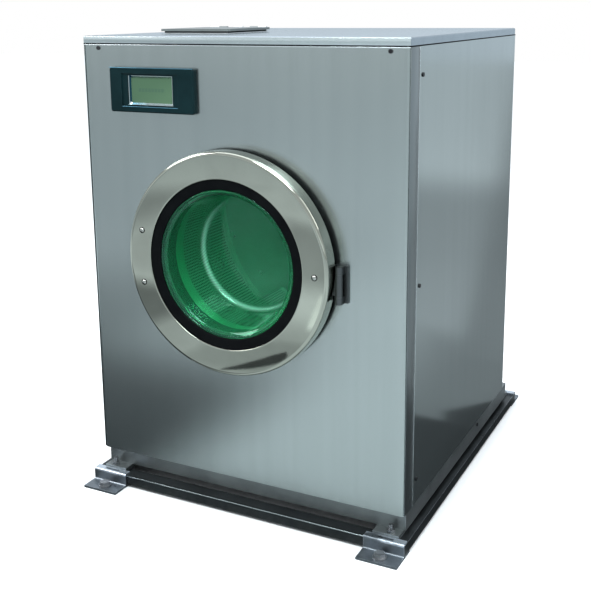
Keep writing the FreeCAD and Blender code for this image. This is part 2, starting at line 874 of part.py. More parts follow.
def display_frame():
    """The bright frame round the display, bevelled towards the glass."""
    y0 = cabinet_front - bezel_thickness + recess_depth - screen_frame_rise
    y1 = inner_front + screen_thickness
    w = screen_frame_width
    outer = block(screen_left - w, screen_right + w, y0, y1, screen_bottom - w, screen_top + w)
    b = w - screen_frame_edge
    front = [point(screen_left - b, y0, screen_bottom - b),
             point(screen_right + b, y0, screen_bottom - b),
             point(screen_right + b, y0, screen_top + b),
             point(screen_left - b, y0, screen_top + b)]
    back = [point(screen_left, y0 + w, screen_bottom), point(screen_right, y0 + w, screen_bottom),
            point(screen_right, y0 + w, screen_top), point(screen_left, y0 + w, screen_top)]
    funnel = Part.makeLoft([Part.makePolygon(front + [front[0]]),
                            Part.makePolygon(back + [back[0]])], True, True)
    shaft = block(screen_left, screen_right, y0 + w, y1, screen_bottom, screen_top)
    return outer.cut(funnel).cut(shaft)


def display_screen():
    """The display module that fills the frame."""
    y0 = cabinet_front - bezel_thickness + recess_depth - screen_frame_rise + screen_frame_width
    return block(screen_left, screen_right, y0, y0 + screen_thickness, screen_bottom, screen_top)


def control_box():
    """The closed electronics housing, hung from the top cover by its ears."""
    x1 = control_box_left + control_box_width
    z1 = cabinet_top - sheet - control_box_top_gap
    y0 = side_front + corner_radius
    y1 = y0 + control_box_length
    body = rounded_plate(control_box_left, x1, y0, y1, z1 - control_box_height, z1, corner_radius)
    ears = []
    for x in (control_box_left + corner_radius, x1 - corner_radius - flange_width):
        for y in (y0 + corner_radius, y1 - corner_radius - flange_width):
            ears.append(block(x, x + flange_width, y, y + flange_width,
                              z1 - sheet, cabinet_top - sheet))
    return join([body] + ears)


# ---------------------------------------------------------------- dispenser
def knuckle_spans():
    """X spans along the lid's rear edge: first the fixed knuckles, then the lid's."""
    inset = hopper_border
    usable = lid_width - 2 * inset
    pitch = (usable - lid_knuckle_width) / 2
    fixed = []
    moving = []
    for i in range(3):
        start = lid_left + inset + pitch * i
        fixed.append((start, start + lid_knuckle_width))
    for side, (start, end) in zip((1, -1), (fixed[0], fixed[2])):
        if side > 0:
            moving.append((end + lid_knuckle_gap, end + lid_knuckle_gap + lid_knuckle_width))
        else:
            moving.append((start - lid_knuckle_gap - lid_knuckle_width, start - lid_knuckle_gap))
    return fixed, moving


def dispenser_hopper():
    """A sheet hopper hung in the cover, with an outlet and three hinge knuckles."""
    top = cabinet_top + hopper_wall
    flange = block(hopper_left - hopper_flange, hopper_right + hopper_flange,
                   hopper_front - hopper_flange, hopper_back + hopper_flange, cabinet_top, top)
    body = block(hopper_left, hopper_right, hopper_front, hopper_back, hopper_bottom, top)
    leaf_parts = [flange, body]
    fixed, moving = knuckle_spans()
    for start, end in fixed:
        leaf_parts.append(block(start, end, hopper_back, lid_pin_y + lid_knuckle_radius,
                                cabinet_top, top))
        leaf_parts.append(block(start, end, lid_pin_y - lid_knuckle_foot,
                                lid_pin_y + lid_knuckle_radius, cabinet_top, lid_pin_z))
        leaf_parts.append(rod(lid_knuckle_radius, point(start, lid_pin_y, lid_pin_z),
                              end - start, X_AXIS))
    shape = join(leaf_parts)
    inner = block(hopper_left + hopper_wall, hopper_right - hopper_wall,
                  hopper_front + hopper_wall, hopper_back - hopper_wall,
                  hopper_bottom + hopper_wall, top)
    shape = shape.cut(inner)
    x, y = hopper_centre()
    outlet = rod(hopper_outlet_radius, point(x, y, hopper_bottom - hopper_outlet_length),
                 hopper_outlet_length + hopper_wall, Z_AXIS)
    bore = rod(hopper_outlet_radius - hopper_wall,
               point(x, y, hopper_bottom - hopper_outlet_length),
               hopper_outlet_length + 2 * hopper_wall, Z_AXIS)
    shape = shape.fuse(outlet).cut(bore)
    pin = rod(lid_pin_radius, point(lid_left, lid_pin_y, lid_pin_z), lid_width, X_AXIS)
    return shape.cut(pin).removeSplitter()


def hopper_centre():
    """The middle of the hopper in plan."""
    return (hopper_left + hopper_right) / 2, (hopper_front + hopper_back) / 2


def lid_gasket():
    """A rectangular rubber frame that the lid closes on."""
    z0 = cabinet_top + hopper_wall
    outer = block(hopper_left - gasket_width, hopper_right + gasket_width,
                  hopper_front - gasket_width, hopper_back + gasket_width, z0, lid_seat)
    return outer.cut(block(hopper_left, hopper_right, hopper_front, hopper_back, z0, lid_seat))


def dispenser_lid():
    """A flat lid with rounded corners and two hinge knuckles."""
    top = lid_bottom + lid_thickness
    plate = rounded_plate(lid_left, lid_right, lid_front, lid_back, lid_bottom, top,
                          lid_edge_radius)
    parts = [plate]
    fixed, moving = knuckle_spans()
    for start, end in moving:
        parts.append(block(start, end, lid_back - lid_edge_radius, lid_pin_y, lid_bottom, top))
        parts.append(rod(lid_knuckle_radius, point(start, lid_pin_y, lid_pin_z),
                         end - start, X_AXIS))
    shape = join(parts)
    bore = rod(lid_pin_radius + hinge_clearance, point(lid_left, lid_pin_y, lid_pin_z),
               lid_width, X_AXIS)
    return shape.cut(bore)


def lid_hinge_pin():
    """The pin through all five knuckles, held in the fixed ones."""
    fixed, moving = knuckle_spans()
    start = fixed[0][0]
    end = fixed[2][1]
    return rod(lid_pin_radius, point(start, lid_pin_y, lid_pin_z), end - start, X_AXIS)


def dispenser_hose():
    """A ribbed hose from the hopper's outlet to the tub."""
    x, y = hopper_centre()
    bottom = tub_surface(x) + saddle_gap
    top = hopper_bottom - saddle_gap
    length = top - bottom
    outer = rod(hose_radius, point(x, y, bottom), length, Z_AXIS)
    pitch = length / (hose_ribs + 1)
    for i in range(hose_ribs):
        z = bottom + pitch * (i + 0.75)
        outer = outer.fuse(rod(hose_radius + hose_rib_height, point(x, y, z),
                               pitch / 2, Z_AXIS))
    hose = outer.cut(rod(hose_radius - hose_wall, point(x, y, bottom), length, Z_AXIS))
    return hose.cut(rod(tub_radius + saddle_gap, point(door_x, tub_front, door_z),
                        tub_back_face - tub_front, Y_AXIS)).removeSplitter()


def tub_surface(x):
    """The height of the top of the tub above a given X."""
    return door_z + math.sqrt(tub_radius ** 2 - (x - door_x) ** 2)


# ---------------------------------------------------------------- door
def door_ring():
    """The pressed ring: sloping face, round edge, side wall and inner lip."""
    t = door_sheet
    edge_y = door_face + door_edge_radius
    outer = arc_points(door_radius - door_edge_radius, edge_y, door_edge_radius, -90, 0, 6)
    inner = arc_points(door_radius - door_edge_radius, edge_y, door_edge_radius - t, 0, -90, 6)
    profile = [(gasket_radius, gasket_face)] + outer + [(door_radius, door_back),
               (door_radius - t, door_back)] + inner
    profile += [(gasket_radius + t, gasket_face + t), (gasket_radius + t, glass_front),
                (gasket_radius, glass_front)]
    return turn(profile, door_x, door_z)


def door_clamp_ring():
    """The rear ring of the door, with the wall that holds the gasket."""
    t = door_sheet
    inner = clamp_wall_radius - clamp_wall_thickness
    profile = [(inner, clamp_front), (clamp_wall_radius, clamp_front),
               (clamp_wall_radius, door_back - t), (door_radius - t - saddle_gap, door_back - t),
               (door_radius - t - saddle_gap, door_back), (inner, door_back)]
    return turn(profile, door_x, door_z)


def glazing_gasket():
    """The black rubber between ring and glass, grooved for the glass flange."""
    groove = glass_flange_radius + saddle_gap
    profile = [(window_radius, gasket_face + gasket_lip), (gasket_radius, gasket_face),
               (gasket_radius, clamp_front), (window_radius, clamp_front),
               (window_radius, glass_back), (groove, glass_back), (groove, glass_front),
               (window_radius, glass_front)]
    return turn(profile, door_x, door_z)


def door_glass():
    """The deep glass bowl that reaches into the drum."""
    t = glass_thickness
    r = bowl_corner_radius
    corner = arc_points(bowl_end_radius - r, bowl_end - r, r, 0, 90, 6)
    inner = arc_points(bowl_end_radius - r, bowl_end - r, r - t, 90, 0, 6)
    profile = [(bowl_mouth_radius - t, glass_front), (glass_flange_radius, glass_front),
               (glass_flange_radius, glass_back), (bowl_mouth_radius, glass_back)]
    profile += corner + [(0, bowl_end), (0, bowl_end - t)] + inner
    return turn(profile, door_x, door_z)


def door_ring_screws():
    """Domed screws on the ring's face."""
    slope = door_face_slope / (door_radius - door_edge_radius - gasket_radius)
    y = gasket_face - slope * (ring_screw_circle - gasket_radius)
    solids = []
    for angle in ring_screw_angles:
        x = door_x + ring_screw_circle * math.cos(math.radians(angle))
        z = door_z + ring_screw_circle * math.sin(math.radians(angle))
        head = rod(ring_screw_radius, point(x, y + ring_screw_sink, z),
                   ring_screw_height + ring_screw_sink, -Y_AXIS)
        shank = rod(ring_screw_radius / 2, point(x, y, z), door_back - door_sheet - y, Y_AXIS)
        solids.append(join([head, shank]))
    return solids


def drilled_ring(ring, screws):
    """A door ring with room for its screws."""
    for screw in screws:
        ring = ring.cut(screw)
    return ring


def hinge_lug(z0, z1, wall_side):
    """A lug round the hinge axis, joined to the panel plate."""
    barrel = rod(hinge_knuckle_radius, point(hinge_x, hinge_y, z0), z1 - z0, Z_AXIS)
    neck = block(hinge_x - hinge_knuckle_radius, hinge_x + hinge_knuckle_radius,
                 hinge_y, wall_side, z0, z1)
    return barrel.fuse(neck)


def door_hinge_block():
    """The fixed half: a plate on the front panel with two lugs."""
    top = hinge_block_bottom + hinge_block_height
    y1 = cabinet_front
    y0 = y1 - hinge_base_thickness
    plate = block(hinge_x - hinge_base_width / 2, hinge_x + hinge_base_width / 2,
                  y0, y1, hinge_block_bottom, top)
    lower = hinge_lug(hinge_block_bottom, hinge_block_bottom + hinge_lug_height, y0)
    upper = hinge_lug(top - hinge_lug_height, top, y0)
    shape = join([plate, lower, upper])
    return shape.cut(rod(hinge_pin_radius, point(hinge_x, hinge_y, hinge_block_bottom),
                         hinge_block_height, Z_AXIS))


def door_hinge_pin():
    """The upright pin, held in both lugs."""
    return rod(hinge_pin_radius, point(hinge_x, hinge_y, hinge_block_bottom),
               hinge_block_height, Z_AXIS)


def door_hinge_arm():
    """The moving half: a knuckle on an arm that lies on the back of the door."""
    z0 = hinge_block_bottom + hinge_lug_height + hinge_gap
    z1 = hinge_block_bottom + hinge_block_height - hinge_lug_height - hinge_gap
    barrel = rod(hinge_knuckle_radius, point(hinge_x, hinge_y, z0), z1 - z0, Z_AXIS)
    arm = block(hinge_x - hinge_arm_length, hinge_x, door_back,
                door_back + hinge_arm_thickness, z0, z1)
    shape = join([barrel, arm])
    return shape.cut(rod(hinge_pin_radius + hinge_clearance, point(hinge_x, hinge_y, z0),
                         z1 - z0, Z_AXIS))


# ---------------------------------------------------------------- door lock
def latch_hook():
    """A hook on the back of the door with a hole for the lock bolt."""
    half = latch_plate_height / 2
    plate = block(latch_x - latch_plate_width / 2, latch_x + latch_plate_width / 2, door_back,
                  door_back + latch_plate_thickness, door_z - half, door_z + half)
    tip = door_back + latch_reach
    half = latch_height / 2
    arm = block(latch_x - latch_thickness / 2, latch_x + latch_thickness / 2, door_back, tip,
                door_z - half, door_z + half)
    y1 = tip - latch_hole_setback
    half = latch_hole_height / 2
    hole = block(latch_x - latch_thickness, latch_x + latch_thickness, y1 - latch_hole_length, y1,
                 door_z - half, door_z + half)
    return join([plate, arm]).cut(hole)


def bolt_place():
    """The rest position of the bolt's tip, right of the hook's slot."""
    x = latch_x + latch_thickness / 2 + latch_slot_inner + lock_bolt_rest_gap
    y = door_back + latch_reach - latch_hole_setback - latch_hole_length / 2
    return point(x, y, door_z)


def door_lock_body():
    """The lock housing behind the front panel, open for the hook."""
    half = lock_body_height / 2
    y1 = inner_front + lock_body_depth
    body = block(latch_x - lock_body_left, latch_x + lock_body_right, inner_front, y1,
                 door_z - half, door_z + half)
    body = body.cut(latch_slot(inner_front, y1 - latch_plate_thickness))
    tip = bolt_place()
    bore = rod(lock_bolt_radius + hinge_clearance, tip - X_AXIS * (2 * lock_bolt_rest_gap),
               lock_bolt_length + 3 * lock_bolt_rest_gap, X_AXIS)
    return body.cut(bore)


def door_lock_bolt():
    """The bolt, drawn back."""
    return rod(lock_bolt_radius, bolt_place(), lock_bolt_length, X_AXIS)


# ---------------------------------------------------------------- tub
def tub_shell():
    """The outer drum: wall with front plate and rear rim, neck ring and sump outlet."""
    t = tub_sheet
    profile = [(neck_radius + t, tub_front), (tub_radius, tub_front),
               (tub_radius, tub_back_face - tub_rim_length),
               (tub_radius + tub_rim_width, tub_back_face - tub_rim_length),
               (tub_radius + tub_rim_width, tub_back_face), (tub_inner_radius, tub_back_face),
               (tub_inner_radius, tub_front + t), (neck_radius + t, tub_front + t)]
    shell = turn(profile, door_x, door_z)
    neck = tube(neck_radius + t, neck_radius, point(door_x, neck_front, door_z),
                neck_reach + t, Y_AXIS)
    foot = point(drain_x, drain_y, sump_bottom())
    height = door_z - sump_bottom()
    outlet = tube(sump_radius, sump_radius - drain_wall, foot, height, Z_AXIS)
    outlet = outlet.cut(rod(tub_radius, point(door_x, tub_front, door_z), tub_length, Y_AXIS))
    shell = shell.cut(rod(sump_radius - drain_wall, foot, height, Z_AXIS))
    return Part.makeCompound([shell, neck, outlet])


def sump_bottom():
    """The lower end of the sump outlet."""
    low = door_z - math.sqrt(tub_radius ** 2 - (drain_x - door_x) ** 2)
    return low - sump_length


def door_seal():
    """The rubber ring on the tub's neck that the door closes against."""
    t = tub_sheet
    front = door_back + seal_clearance
    back = front + seal_length
    inner = neck_radius - seal_grip
    outer = neck_radius + t + seal_grip
    profile = [(inner, neck_front - seal_grip), (inner + seal_grip, front + seal_grip),
               (seal_radius - seal_grip, front), (seal_radius, front),
               (outer, neck_front - seal_grip), (outer, back), (neck_radius + t, back),
               (neck_radius + t, neck_front), (neck_radius, neck_front), (neck_radius, back),
               (inner, back)]
    return turn(profile, door_x, door_z)


def bearing_bulkhead():
    """The rear wall of the tub with the ribbed bearing housing."""
    plate = rod(bulkhead_radius, point(door_x, tub_back_face, door_z), bulkhead_plate, Y_AXIS)
    flange = rod(housing_flange_radius, point(door_x, bulkhead_back, door_z),
                 housing_flange_thickness, Y_AXIS)
    hub = rod(housing_radius, point(door_x, bulkhead_back, door_z), housing_length, Y_AXIS)
    parts = [plate, flange, hub]
    rib_start = bulkhead_back
    for i in range(housing_rib_count):
        rib = extrude([point(0, rib_start, 0), point(housing_rib_reach, rib_start, 0),
                       point(housing_radius, housing_back - bearing_width, 0),
                       point(0, housing_back - bearing_width, 0)], Z_AXIS * housing_rib_thickness)
        rib.translate(point(0, 0, -housing_rib_thickness / 2))
        rib.rotate(point(0, 0, 0), Y_AXIS, 360.0 * i / housing_rib_count)
        rib.translate(point(door_x, 0, door_z))
        parts.append(rib)
    shape = join(parts)
    for start, end in bearing_spans():
        shape = shape.cut(rod(bearing_radius, point(door_x, start, door_z), end - start, Y_AXIS))
    bore = shaft_radius + housing_bore_gap
    return shape.cut(rod(bore, point(door_x, tub_back_face, door_z),
                         bulkhead_plate + housing_length, Y_AXIS))


def bearing_spans():
    """The Y spans of the two bearing seats."""
    first = bulkhead_back + bearing_inset
    last = housing_back - bearing_inset
    return [(first, first + bearing_width), (last - bearing_width, last)]


def drum_bearings():
    """Two bearings with the shaft's running clearance in their bores."""
    rings = []
    for start, end in bearing_spans():
        rings.append(tube(bearing_radius, shaft_radius + shaft_clearance,
                          point(door_x, start, door_z), end - start, Y_AXIS))
    return Part.makeCompound(rings)


# ---------------------------------------------------------------- drum
def drum_shell():
    """The perforated cylinder with its front plate and rolled lip."""
    t = drum_sheet
    lip = drum_lip_radius
    mouth = drum_mouth_radius
    roll = arc_points(mouth + lip, drum_front + lip, lip, -90, -270, 6)
    profile = [(drum_radius, drum_front)] + [(mouth + lip, drum_front)] + roll[1:]
    profile += [(mouth + lip, drum_front + t), (drum_inner_radius, drum_front + t),
                (drum_inner_radius, drum_back_face + t), (drum_radius, drum_back_face + t)]
    shell = turn(profile, door_x, door_z)
    return shell.cut(Part.makeCompound(drum_holes()))


def drum_holes():
    """Radial drills in staggered rows, left out where the lifters stand."""
    drills = []
    span = drum_back_face - drum_front
    pitch = span / (hole_rows + 0.5)
    step = 360.0 / hole_columns
    for column in range(hole_columns):
        angle = lifter_phase + step * (column + 0.5)
        shift = 0.5 * pitch * (column % 2)
        way = point(math.cos(math.radians(angle)), 0, math.sin(math.radians(angle)))
        for row in range(hole_rows):
            y = drum_front + pitch * (row + 0.5) + shift
            start = point(door_x, y, door_z) + way * (drum_inner_radius - 2 * drum_sheet)
            drills.append(rod(hole_radius, start, 5 * drum_sheet, way))
    return drills


def lifter_block(inset):
    """The outside of a lifter, or its hollow when inset by the sheet."""
    y0 = drum_front + lifter_end_gap + inset
    y1 = drum_back_face - lifter_end_gap - inset
    base = drum_inner_radius
    top = base - lifter_height + inset
    outline = [(base, -lifter_base_width / 2 + inset), (top, -lifter_top_width / 2 + inset),
               (top, lifter_top_width / 2 - inset), (base, lifter_base_width / 2 - inset)]
    rib = extrude([point(r, y0, s) for r, s in outline], Y_AXIS * (y1 - y0))
    crest = [edge for edge in rib.Edges
             if is_along(edge, Y_AXIS) and edge.CenterOfMass.x < top + 1.0]
    return rib.makeFillet(lifter_edge_radius - inset, crest)


def drum_lifters():
    """Three folded sheet ribs that lift the load, seated on the drum wall."""
    solids = []
    for i in range(lifter_count):
        rib = lifter_block(0.0).cut(lifter_block(lifter_sheet))
        rib = rib.common(rod(drum_inner_radius, point(0, drum_front, 0),
                             drum_back_face - drum_front, Y_AXIS))
        rib.rotate(point(0, 0, 0), Y_AXIS, -(lifter_phase + 360.0 * i / lifter_count))
        rib.translate(point(door_x, 0, door_z))
        solids.append(rib)
    return Part.makeCompound(solids)


def drum_back():
    """The rear disc of the drum with the three arms that carry it."""
    disc = rod(drum_inner_radius, point(door_x, drum_back_face, door_z), drum_sheet, Y_AXIS)
    start = drum_back_face + drum_sheet
    hub = rod(spider_hub_radius, point(door_x, start, door_z), spider_depth, Y_AXIS)
    parts = [disc, hub]
    half = spider_arm_width / 2
    tip = drum_inner_radius - flange_width
    for i in range(lifter_count):
        arm = extrude([point(0, start, -half), point(tip, start, -half / 2),
                       point(tip, start, half / 2), point(0, start, half)],
                      Y_AXIS * spider_arm_depth)
        arm.rotate(point(0, 0, 0), Y_AXIS, -(lifter_phase + 360.0 * i / lifter_count))
        arm.translate(point(door_x, 0, door_z))
        parts.append(arm)
    shape = join(parts)
    return shape.cut(rod(shaft_radius, point(door_x, start, door_z), spider_depth, Y_AXIS))


def drum_shaft():
    """The shaft from the drum's hub through both bearings to the pulley."""
    start = drum_back_face + drum_sheet
    return rod(shaft_radius, point(door_x, start, door_z), pulley_back - start, Y_AXIS)


# ---------------------------------------------------------------- belt drive
def pulley_profile(radius, bore):
    """A flanged rim in (radius, y) points, the belt's channel between the flanges."""
    channel = radius - pulley_belt_depth
    return [(bore, pulley_front), (radius, pulley_front), (radius, pulley_front + pulley_flange),
            (channel, pulley_front + pulley_flange), (channel, pulley_back - pulley_flange),
            (radius, pulley_back - pulley_flange), (radius, pulley_back), (bore, pulley_back)]


def drum_pulley():
    """A webbed pulley with lightening holes on the drum's shaft."""
    inner = drum_pulley_radius - pulley_belt_depth - pulley_rim
    rim = turn(pulley_profile(drum_pulley_radius, inner), door_x, door_z)
    hub = rod(pulley_hub_radius, point(door_x, pulley_front, door_z), pulley_width, Y_AXIS)
    y0 = pulley_middle - pulley_web / 2
    web = rod(inner + pulley_rim / 2, point(door_x, y0, door_z), pulley_web, Y_AXIS)
    circle = (pulley_hub_radius + inner) / 2
    for i in range(pulley_hole_count):
        angle = 2 * math.pi * i / pulley_hole_count
        centre = point(door_x + circle * math.cos(angle), y0, door_z + circle * math.sin(angle))
        web = web.cut(rod(pulley_hole_radius, centre, pulley_web, Y_AXIS))
    shape = join([rim, hub, web])
    return shape.cut(rod(shaft_radius, point(door_x, pulley_front, door_z),
                         pulley_width, Y_AXIS))


def motor_pulley():
    """The small pulley with the motor's shaft."""
    rim = turn(pulley_profile(motor_pulley_radius, motor_shaft_radius / 2), motor_x, motor_z)
    start = motor_boss_front - motor_shaft_grip
    shaft = rod(motor_shaft_radius, point(motor_x, start, motor_z), pulley_back - start, Y_AXIS)
    return join([rim, shaft])


def motor():
    """The motor: ribbed body, end caps, boss, feet and terminal box."""
    body = rod(motor_radius, point(motor_x, motor_front + motor_cap, motor_z),
               motor_length - 2 * motor_cap, Y_AXIS)
    step = motor_radius - motor_cap_step
    caps = [rod(step, point(motor_x, motor_front, motor_z), motor_cap, Y_AXIS),
            rod(step, point(motor_x, motor_back - motor_cap, motor_z), motor_cap, Y_AXIS)]
    boss = rod(motor_boss_radius, point(motor_x, motor_back, motor_z), motor_boss_length, Y_AXIS)
    shelf = chassis_top + motor_base_thickness
    half = motor_foot_width / 2
    y0 = motor_front + motor_cap + motor_foot_inset
    y1 = motor_back - motor_cap - motor_foot_inset
    feet_plate = block(motor_x - half, motor_x + half, y0, y1, shelf, shelf + motor_foot_thickness)
    half = motor_pedestal_width / 2
    pedestal = block(motor_x - half, motor_x + half, y0, y1, shelf, motor_z)
    shape = join([body] + caps + [boss, feet_plate, pedestal])
    hole = motor_shaft_grip + motor_shaft_end_gap
    return shape.cut(rod(motor_shaft_radius + shaft_clearance,
                         point(motor_x, motor_boss_front - hole, motor_z), hole, Y_AXIS))


def drive_belt():
    """The belt: a closed band round both pulleys with running clearance."""
    y0 = pulley_middle - belt_width / 2
    big = drum_pulley_radius - pulley_belt_depth + belt_clearance
    small = motor_pulley_radius - pulley_belt_depth + belt_clearance
    outer = belt_loop(big + belt_thickness, small + belt_thickness, y0)
    inner = belt_loop(big, small, y0)
    return outer.cut(inner)


def belt_loop(big, small, y0):
    """A solid slab with the outline of a tight loop round two circles."""
    dx = motor_x - door_x
    dz = motor_z - door_z
    distance = math.hypot(dx, dz)
    heading = math.atan2(dz, dx)
    lean = math.acos((big - small) / distance)
    corners = []
    for angle in (heading + lean, heading - lean):
        corners.append(point(door_x + big * math.cos(angle), y0, door_z + big * math.sin(angle)))
        corners.append(point(motor_x + small * math.cos(angle), y0,
                             motor_z + small * math.sin(angle)))
    middle = extrude([corners[0], corners[1], corners[3], corners[2]], Y_AXIS * belt_width)
    ends = [rod(big, point(door_x, y0, door_z), belt_width, Y_AXIS),
            rod(small, point(motor_x, y0, motor_z), belt_width, Y_AXIS)]
    return join([middle] + ends)


# ---------------------------------------------------------------- services
def water_valves():
    """Three inlet valves: threaded nipple outside, body and coil inside."""
    solids = []
    y0 = cabinet_rear - valve_flange_thickness
    for x in valve_x:
        nipple = rod(nipple_radius, point(x, y0, valve_z), nipple_length + valve_flange_thickness,
                     Y_AXIS)
        flange = rod(valve_flange_radius, point(x, y0, valve_z), valve_flange_thickness, Y_AXIS)
        half = valve_body / 2
        body = block(x - half, x + half, y0 - valve_body_length, y0,
                     valve_z - half, valve_z + half)
        coil = rod(valve_coil_radius, point(x, y0 - valve_body_length / 2, valve_z + half),
                   valve_coil_height, Z_AXIS)
        shape = join([nipple, flange, body, coil])
        bore = rod(nipple_bore, point(x, y0, valve_z), nipple_length + valve_flange_thickness,
                   Y_AXIS)
        solids.append(shape.cut(bore))
    return Part.makeCompound(solids)


def drain_valve():
    """The drain valve under the sump: body, pipe to the rear and actuator."""
    top = sump_bottom()
    low = drain_z - drain_radius
    bore = drain_radius - drain_wall
    reach = cabinet_rear + drain_tail - drain_y
    middle = point(drain_x, drain_y, drain_z)
    body = rod(drain_body_radius, point(drain_x, drain_y, low), top - low, Z_AXIS)
    pipe = rod(drain_radius - spigot_step, middle, reach, Y_AXIS)
    spigot = rod(drain_radius, point(drain_x, cabinet_rear, drain_z), drain_tail, Y_AXIS)
    run = rod(bore, middle, reach, Y_AXIS)
    side = drain_x - drain_body_radius - actuator_size + actuator_sink
    actuator = block(side, side + actuator_size, drain_y - actuator_size / 2,
                     drain_y + actuator_size / 2, drain_z - actuator_size / 2,
                     drain_z + actuator_size / 2)
    valve = body.cut(run).cut(rod(bore, middle, top - drain_z, Z_AXIS))
    return Part.makeCompound([valve, join([pipe, spigot]).cut(run).cut(body),
                              actuator.cut(body)])


def vent_run(radius):
    """The vent's path: up from the tub, round a bend and out to the rear."""
    low = tub_surface(vent_x) - vent_seat_rise
    bend_z = vent_z - vent_bend
    upright = rod(radius, point(vent_x, vent_y, low), bend_z - low, Z_AXIS)
    circle = Part.Wire([Part.makeCircle(radius, point(vent_x, vent_y, bend_z), Z_AXIS)])
    elbow = Part.Face(circle).revolve(point(vent_x, vent_y + vent_bend, bend_z), X_AXIS, -90)
    tail = rod(radius, point(vent_x, vent_y + vent_bend, vent_z),
               cabinet_rear + vent_tail - vent_y - vent_bend, Y_AXIS)
    return join([upright, elbow, tail])


def vent_pipe():
    """The air vent from the top of the tub to the rear."""
    spigot = rod(vent_radius, point(vent_x, cabinet_rear, vent_z), vent_tail, Y_AXIS)
    outside = join([vent_run(vent_radius - spigot_step), spigot])
    pipe = outside.cut(vent_run(vent_radius - vent_wall))
    return pipe.cut(rod(tub_radius + saddle_gap, point(door_x, tub_front, door_z),
                        tub_back_face - tub_front, Y_AXIS))


def cable_gland():
    """The supply cable's gland on the rear panel."""
    y0 = cabinet_rear - sheet
    thread = rod(gland_thread_radius, point(gland_x, y0 - gland_hex_height, gland_z),
                 gland_hex_height + sheet, Y_AXIS)
    locknut = hexagon(gland_hex_across, point(gland_x, y0 - gland_hex_height / 2, gland_z),
                      gland_hex_height / 2, Y_AXIS)
    body = hexagon(gland_hex_across, point(gland_x, cabinet_rear, gland_z), gland_hex_height,
                   Y_AXIS)
    dome = Part.makeCone(gland_thread_radius, gland_bore + gland_dome_wall, gland_dome_length,
                         point(gland_x, cabinet_rear + gland_hex_height, gland_z), Y_AXIS)
    shape = join([thread, locknut, body, dome])
    return shape.cut(rod(gland_bore, point(gland_x, y0 - gland_hex_height, gland_z),
                         gland_hex_height * 2 + sheet + gland_dome_length, Y_AXIS))


# ---------------------------------------------------------------- the whole machine
def build():
    """Every sub-part by its name."""
    parts = {}
    parts.update(base_rails())
    parts.update(feet())
    parts["anchor_bolts"] = anchor_bolts()
    parts["mount_plates"] = mount_plates()
    parts["mount_bolts"] = mount_bolts()
    parts.update(chassis_rails())
    parts["tub_saddle_front"] = tub_saddle(saddle_front_y)
    parts["tub_saddle_rear"] = tub_saddle_rear()
    parts["motor_base"] = motor_base()
    parts["front_panel"] = front_panel()
    parts["top_cover"] = top_cover()
    parts["right_side_panel"] = right_side_panel()
    parts["left_side_panel"] = mirrored(right_side_panel(), X_AXIS)
    parts["rear_panel"] = rear_panel()
    parts["panel_screws"] = panel_screws()
    parts["control_bezel"] = control_bezel()
    parts["display_frame"] = display_frame()
    parts["display_screen"] = display_screen()
    parts["control_box"] = control_box()
    parts["dispenser_hopper"] = dispenser_hopper()
    parts["lid_gasket"] = lid_gasket()
    parts["dispenser_lid"] = dispenser_lid()
    parts["lid_hinge_pin"] = lid_hinge_pin()
    parts["dispenser_hose"] = dispenser_hose()
    screws = door_ring_screws()
    parts["door_ring"] = drilled_ring(door_ring(), screws)
    parts["door_clamp_ring"] = door_clamp_ring()
    parts["glazing_gasket"] = glazing_gasket()
    parts["door_glass"] = door_glass()
    parts["door_ring_screws"] = Part.makeCompound(screws)
    parts["door_hinge_arm"] = door_hinge_arm()
    parts["door_hinge_pin"] = door_hinge_pin()
    parts["door_hinge_block"] = door_hinge_block()
    parts["latch_hook"] = latch_hook()
    parts["door_lock_body"] = door_lock_body()
    parts["door_lock_bolt"] = door_lock_bolt()
    parts["tub_shell"] = tub_shell()
    parts["door_seal"] = door_seal()
    parts["bearing_bulkhead"] = bearing_bulkhead()
    parts["drum_bearings"] = drum_bearings()
    parts["drum_shell"] = drum_shell()
    parts["drum_back"] = drum_back()
    parts["drum_lifters"] = drum_lifters()
    parts["drum_shaft"] = drum_shaft()
    parts["drum_pulley"] = drum_pulley()
    parts["motor"] = motor()
    parts["motor_pulley"] = motor_pulley()
    parts["drive_belt"] = drive_belt()
    parts["water_valves"] = water_valves()
    parts["drain_valve"] = drain_valve()
    parts["vent_pipe"] = vent_pipe()
    parts["cable_gland"] = cable_gland()
    return parts


for node, solid in build().items():
    write(node, solid)
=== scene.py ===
import json
import math
import bmesh
import bpy
from mathutils import Matrix, Vector


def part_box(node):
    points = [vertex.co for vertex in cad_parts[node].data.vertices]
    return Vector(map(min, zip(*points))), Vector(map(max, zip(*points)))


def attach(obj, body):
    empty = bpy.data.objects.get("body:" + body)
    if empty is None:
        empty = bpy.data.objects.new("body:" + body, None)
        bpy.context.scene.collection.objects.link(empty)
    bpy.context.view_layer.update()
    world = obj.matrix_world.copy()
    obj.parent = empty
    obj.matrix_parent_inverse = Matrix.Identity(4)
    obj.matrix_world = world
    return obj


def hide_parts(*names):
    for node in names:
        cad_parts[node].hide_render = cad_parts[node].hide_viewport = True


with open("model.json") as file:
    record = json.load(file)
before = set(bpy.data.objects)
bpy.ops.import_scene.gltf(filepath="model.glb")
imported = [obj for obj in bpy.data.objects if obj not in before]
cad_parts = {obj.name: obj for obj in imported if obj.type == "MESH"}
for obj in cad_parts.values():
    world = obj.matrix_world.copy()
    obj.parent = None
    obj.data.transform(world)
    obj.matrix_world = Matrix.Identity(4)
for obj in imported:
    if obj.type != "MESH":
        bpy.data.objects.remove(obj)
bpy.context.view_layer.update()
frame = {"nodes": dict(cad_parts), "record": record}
cad = frame["nodes"]

# Metres. X runs to the right seen from the front, Y to the rear, Z up.
drum_low, drum_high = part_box("drum_shell")
DRUM_X = round((drum_low.x + drum_high.x) / 2, 4)
DRUM_Z = round((drum_low.z + drum_high.z) / 2, 4)
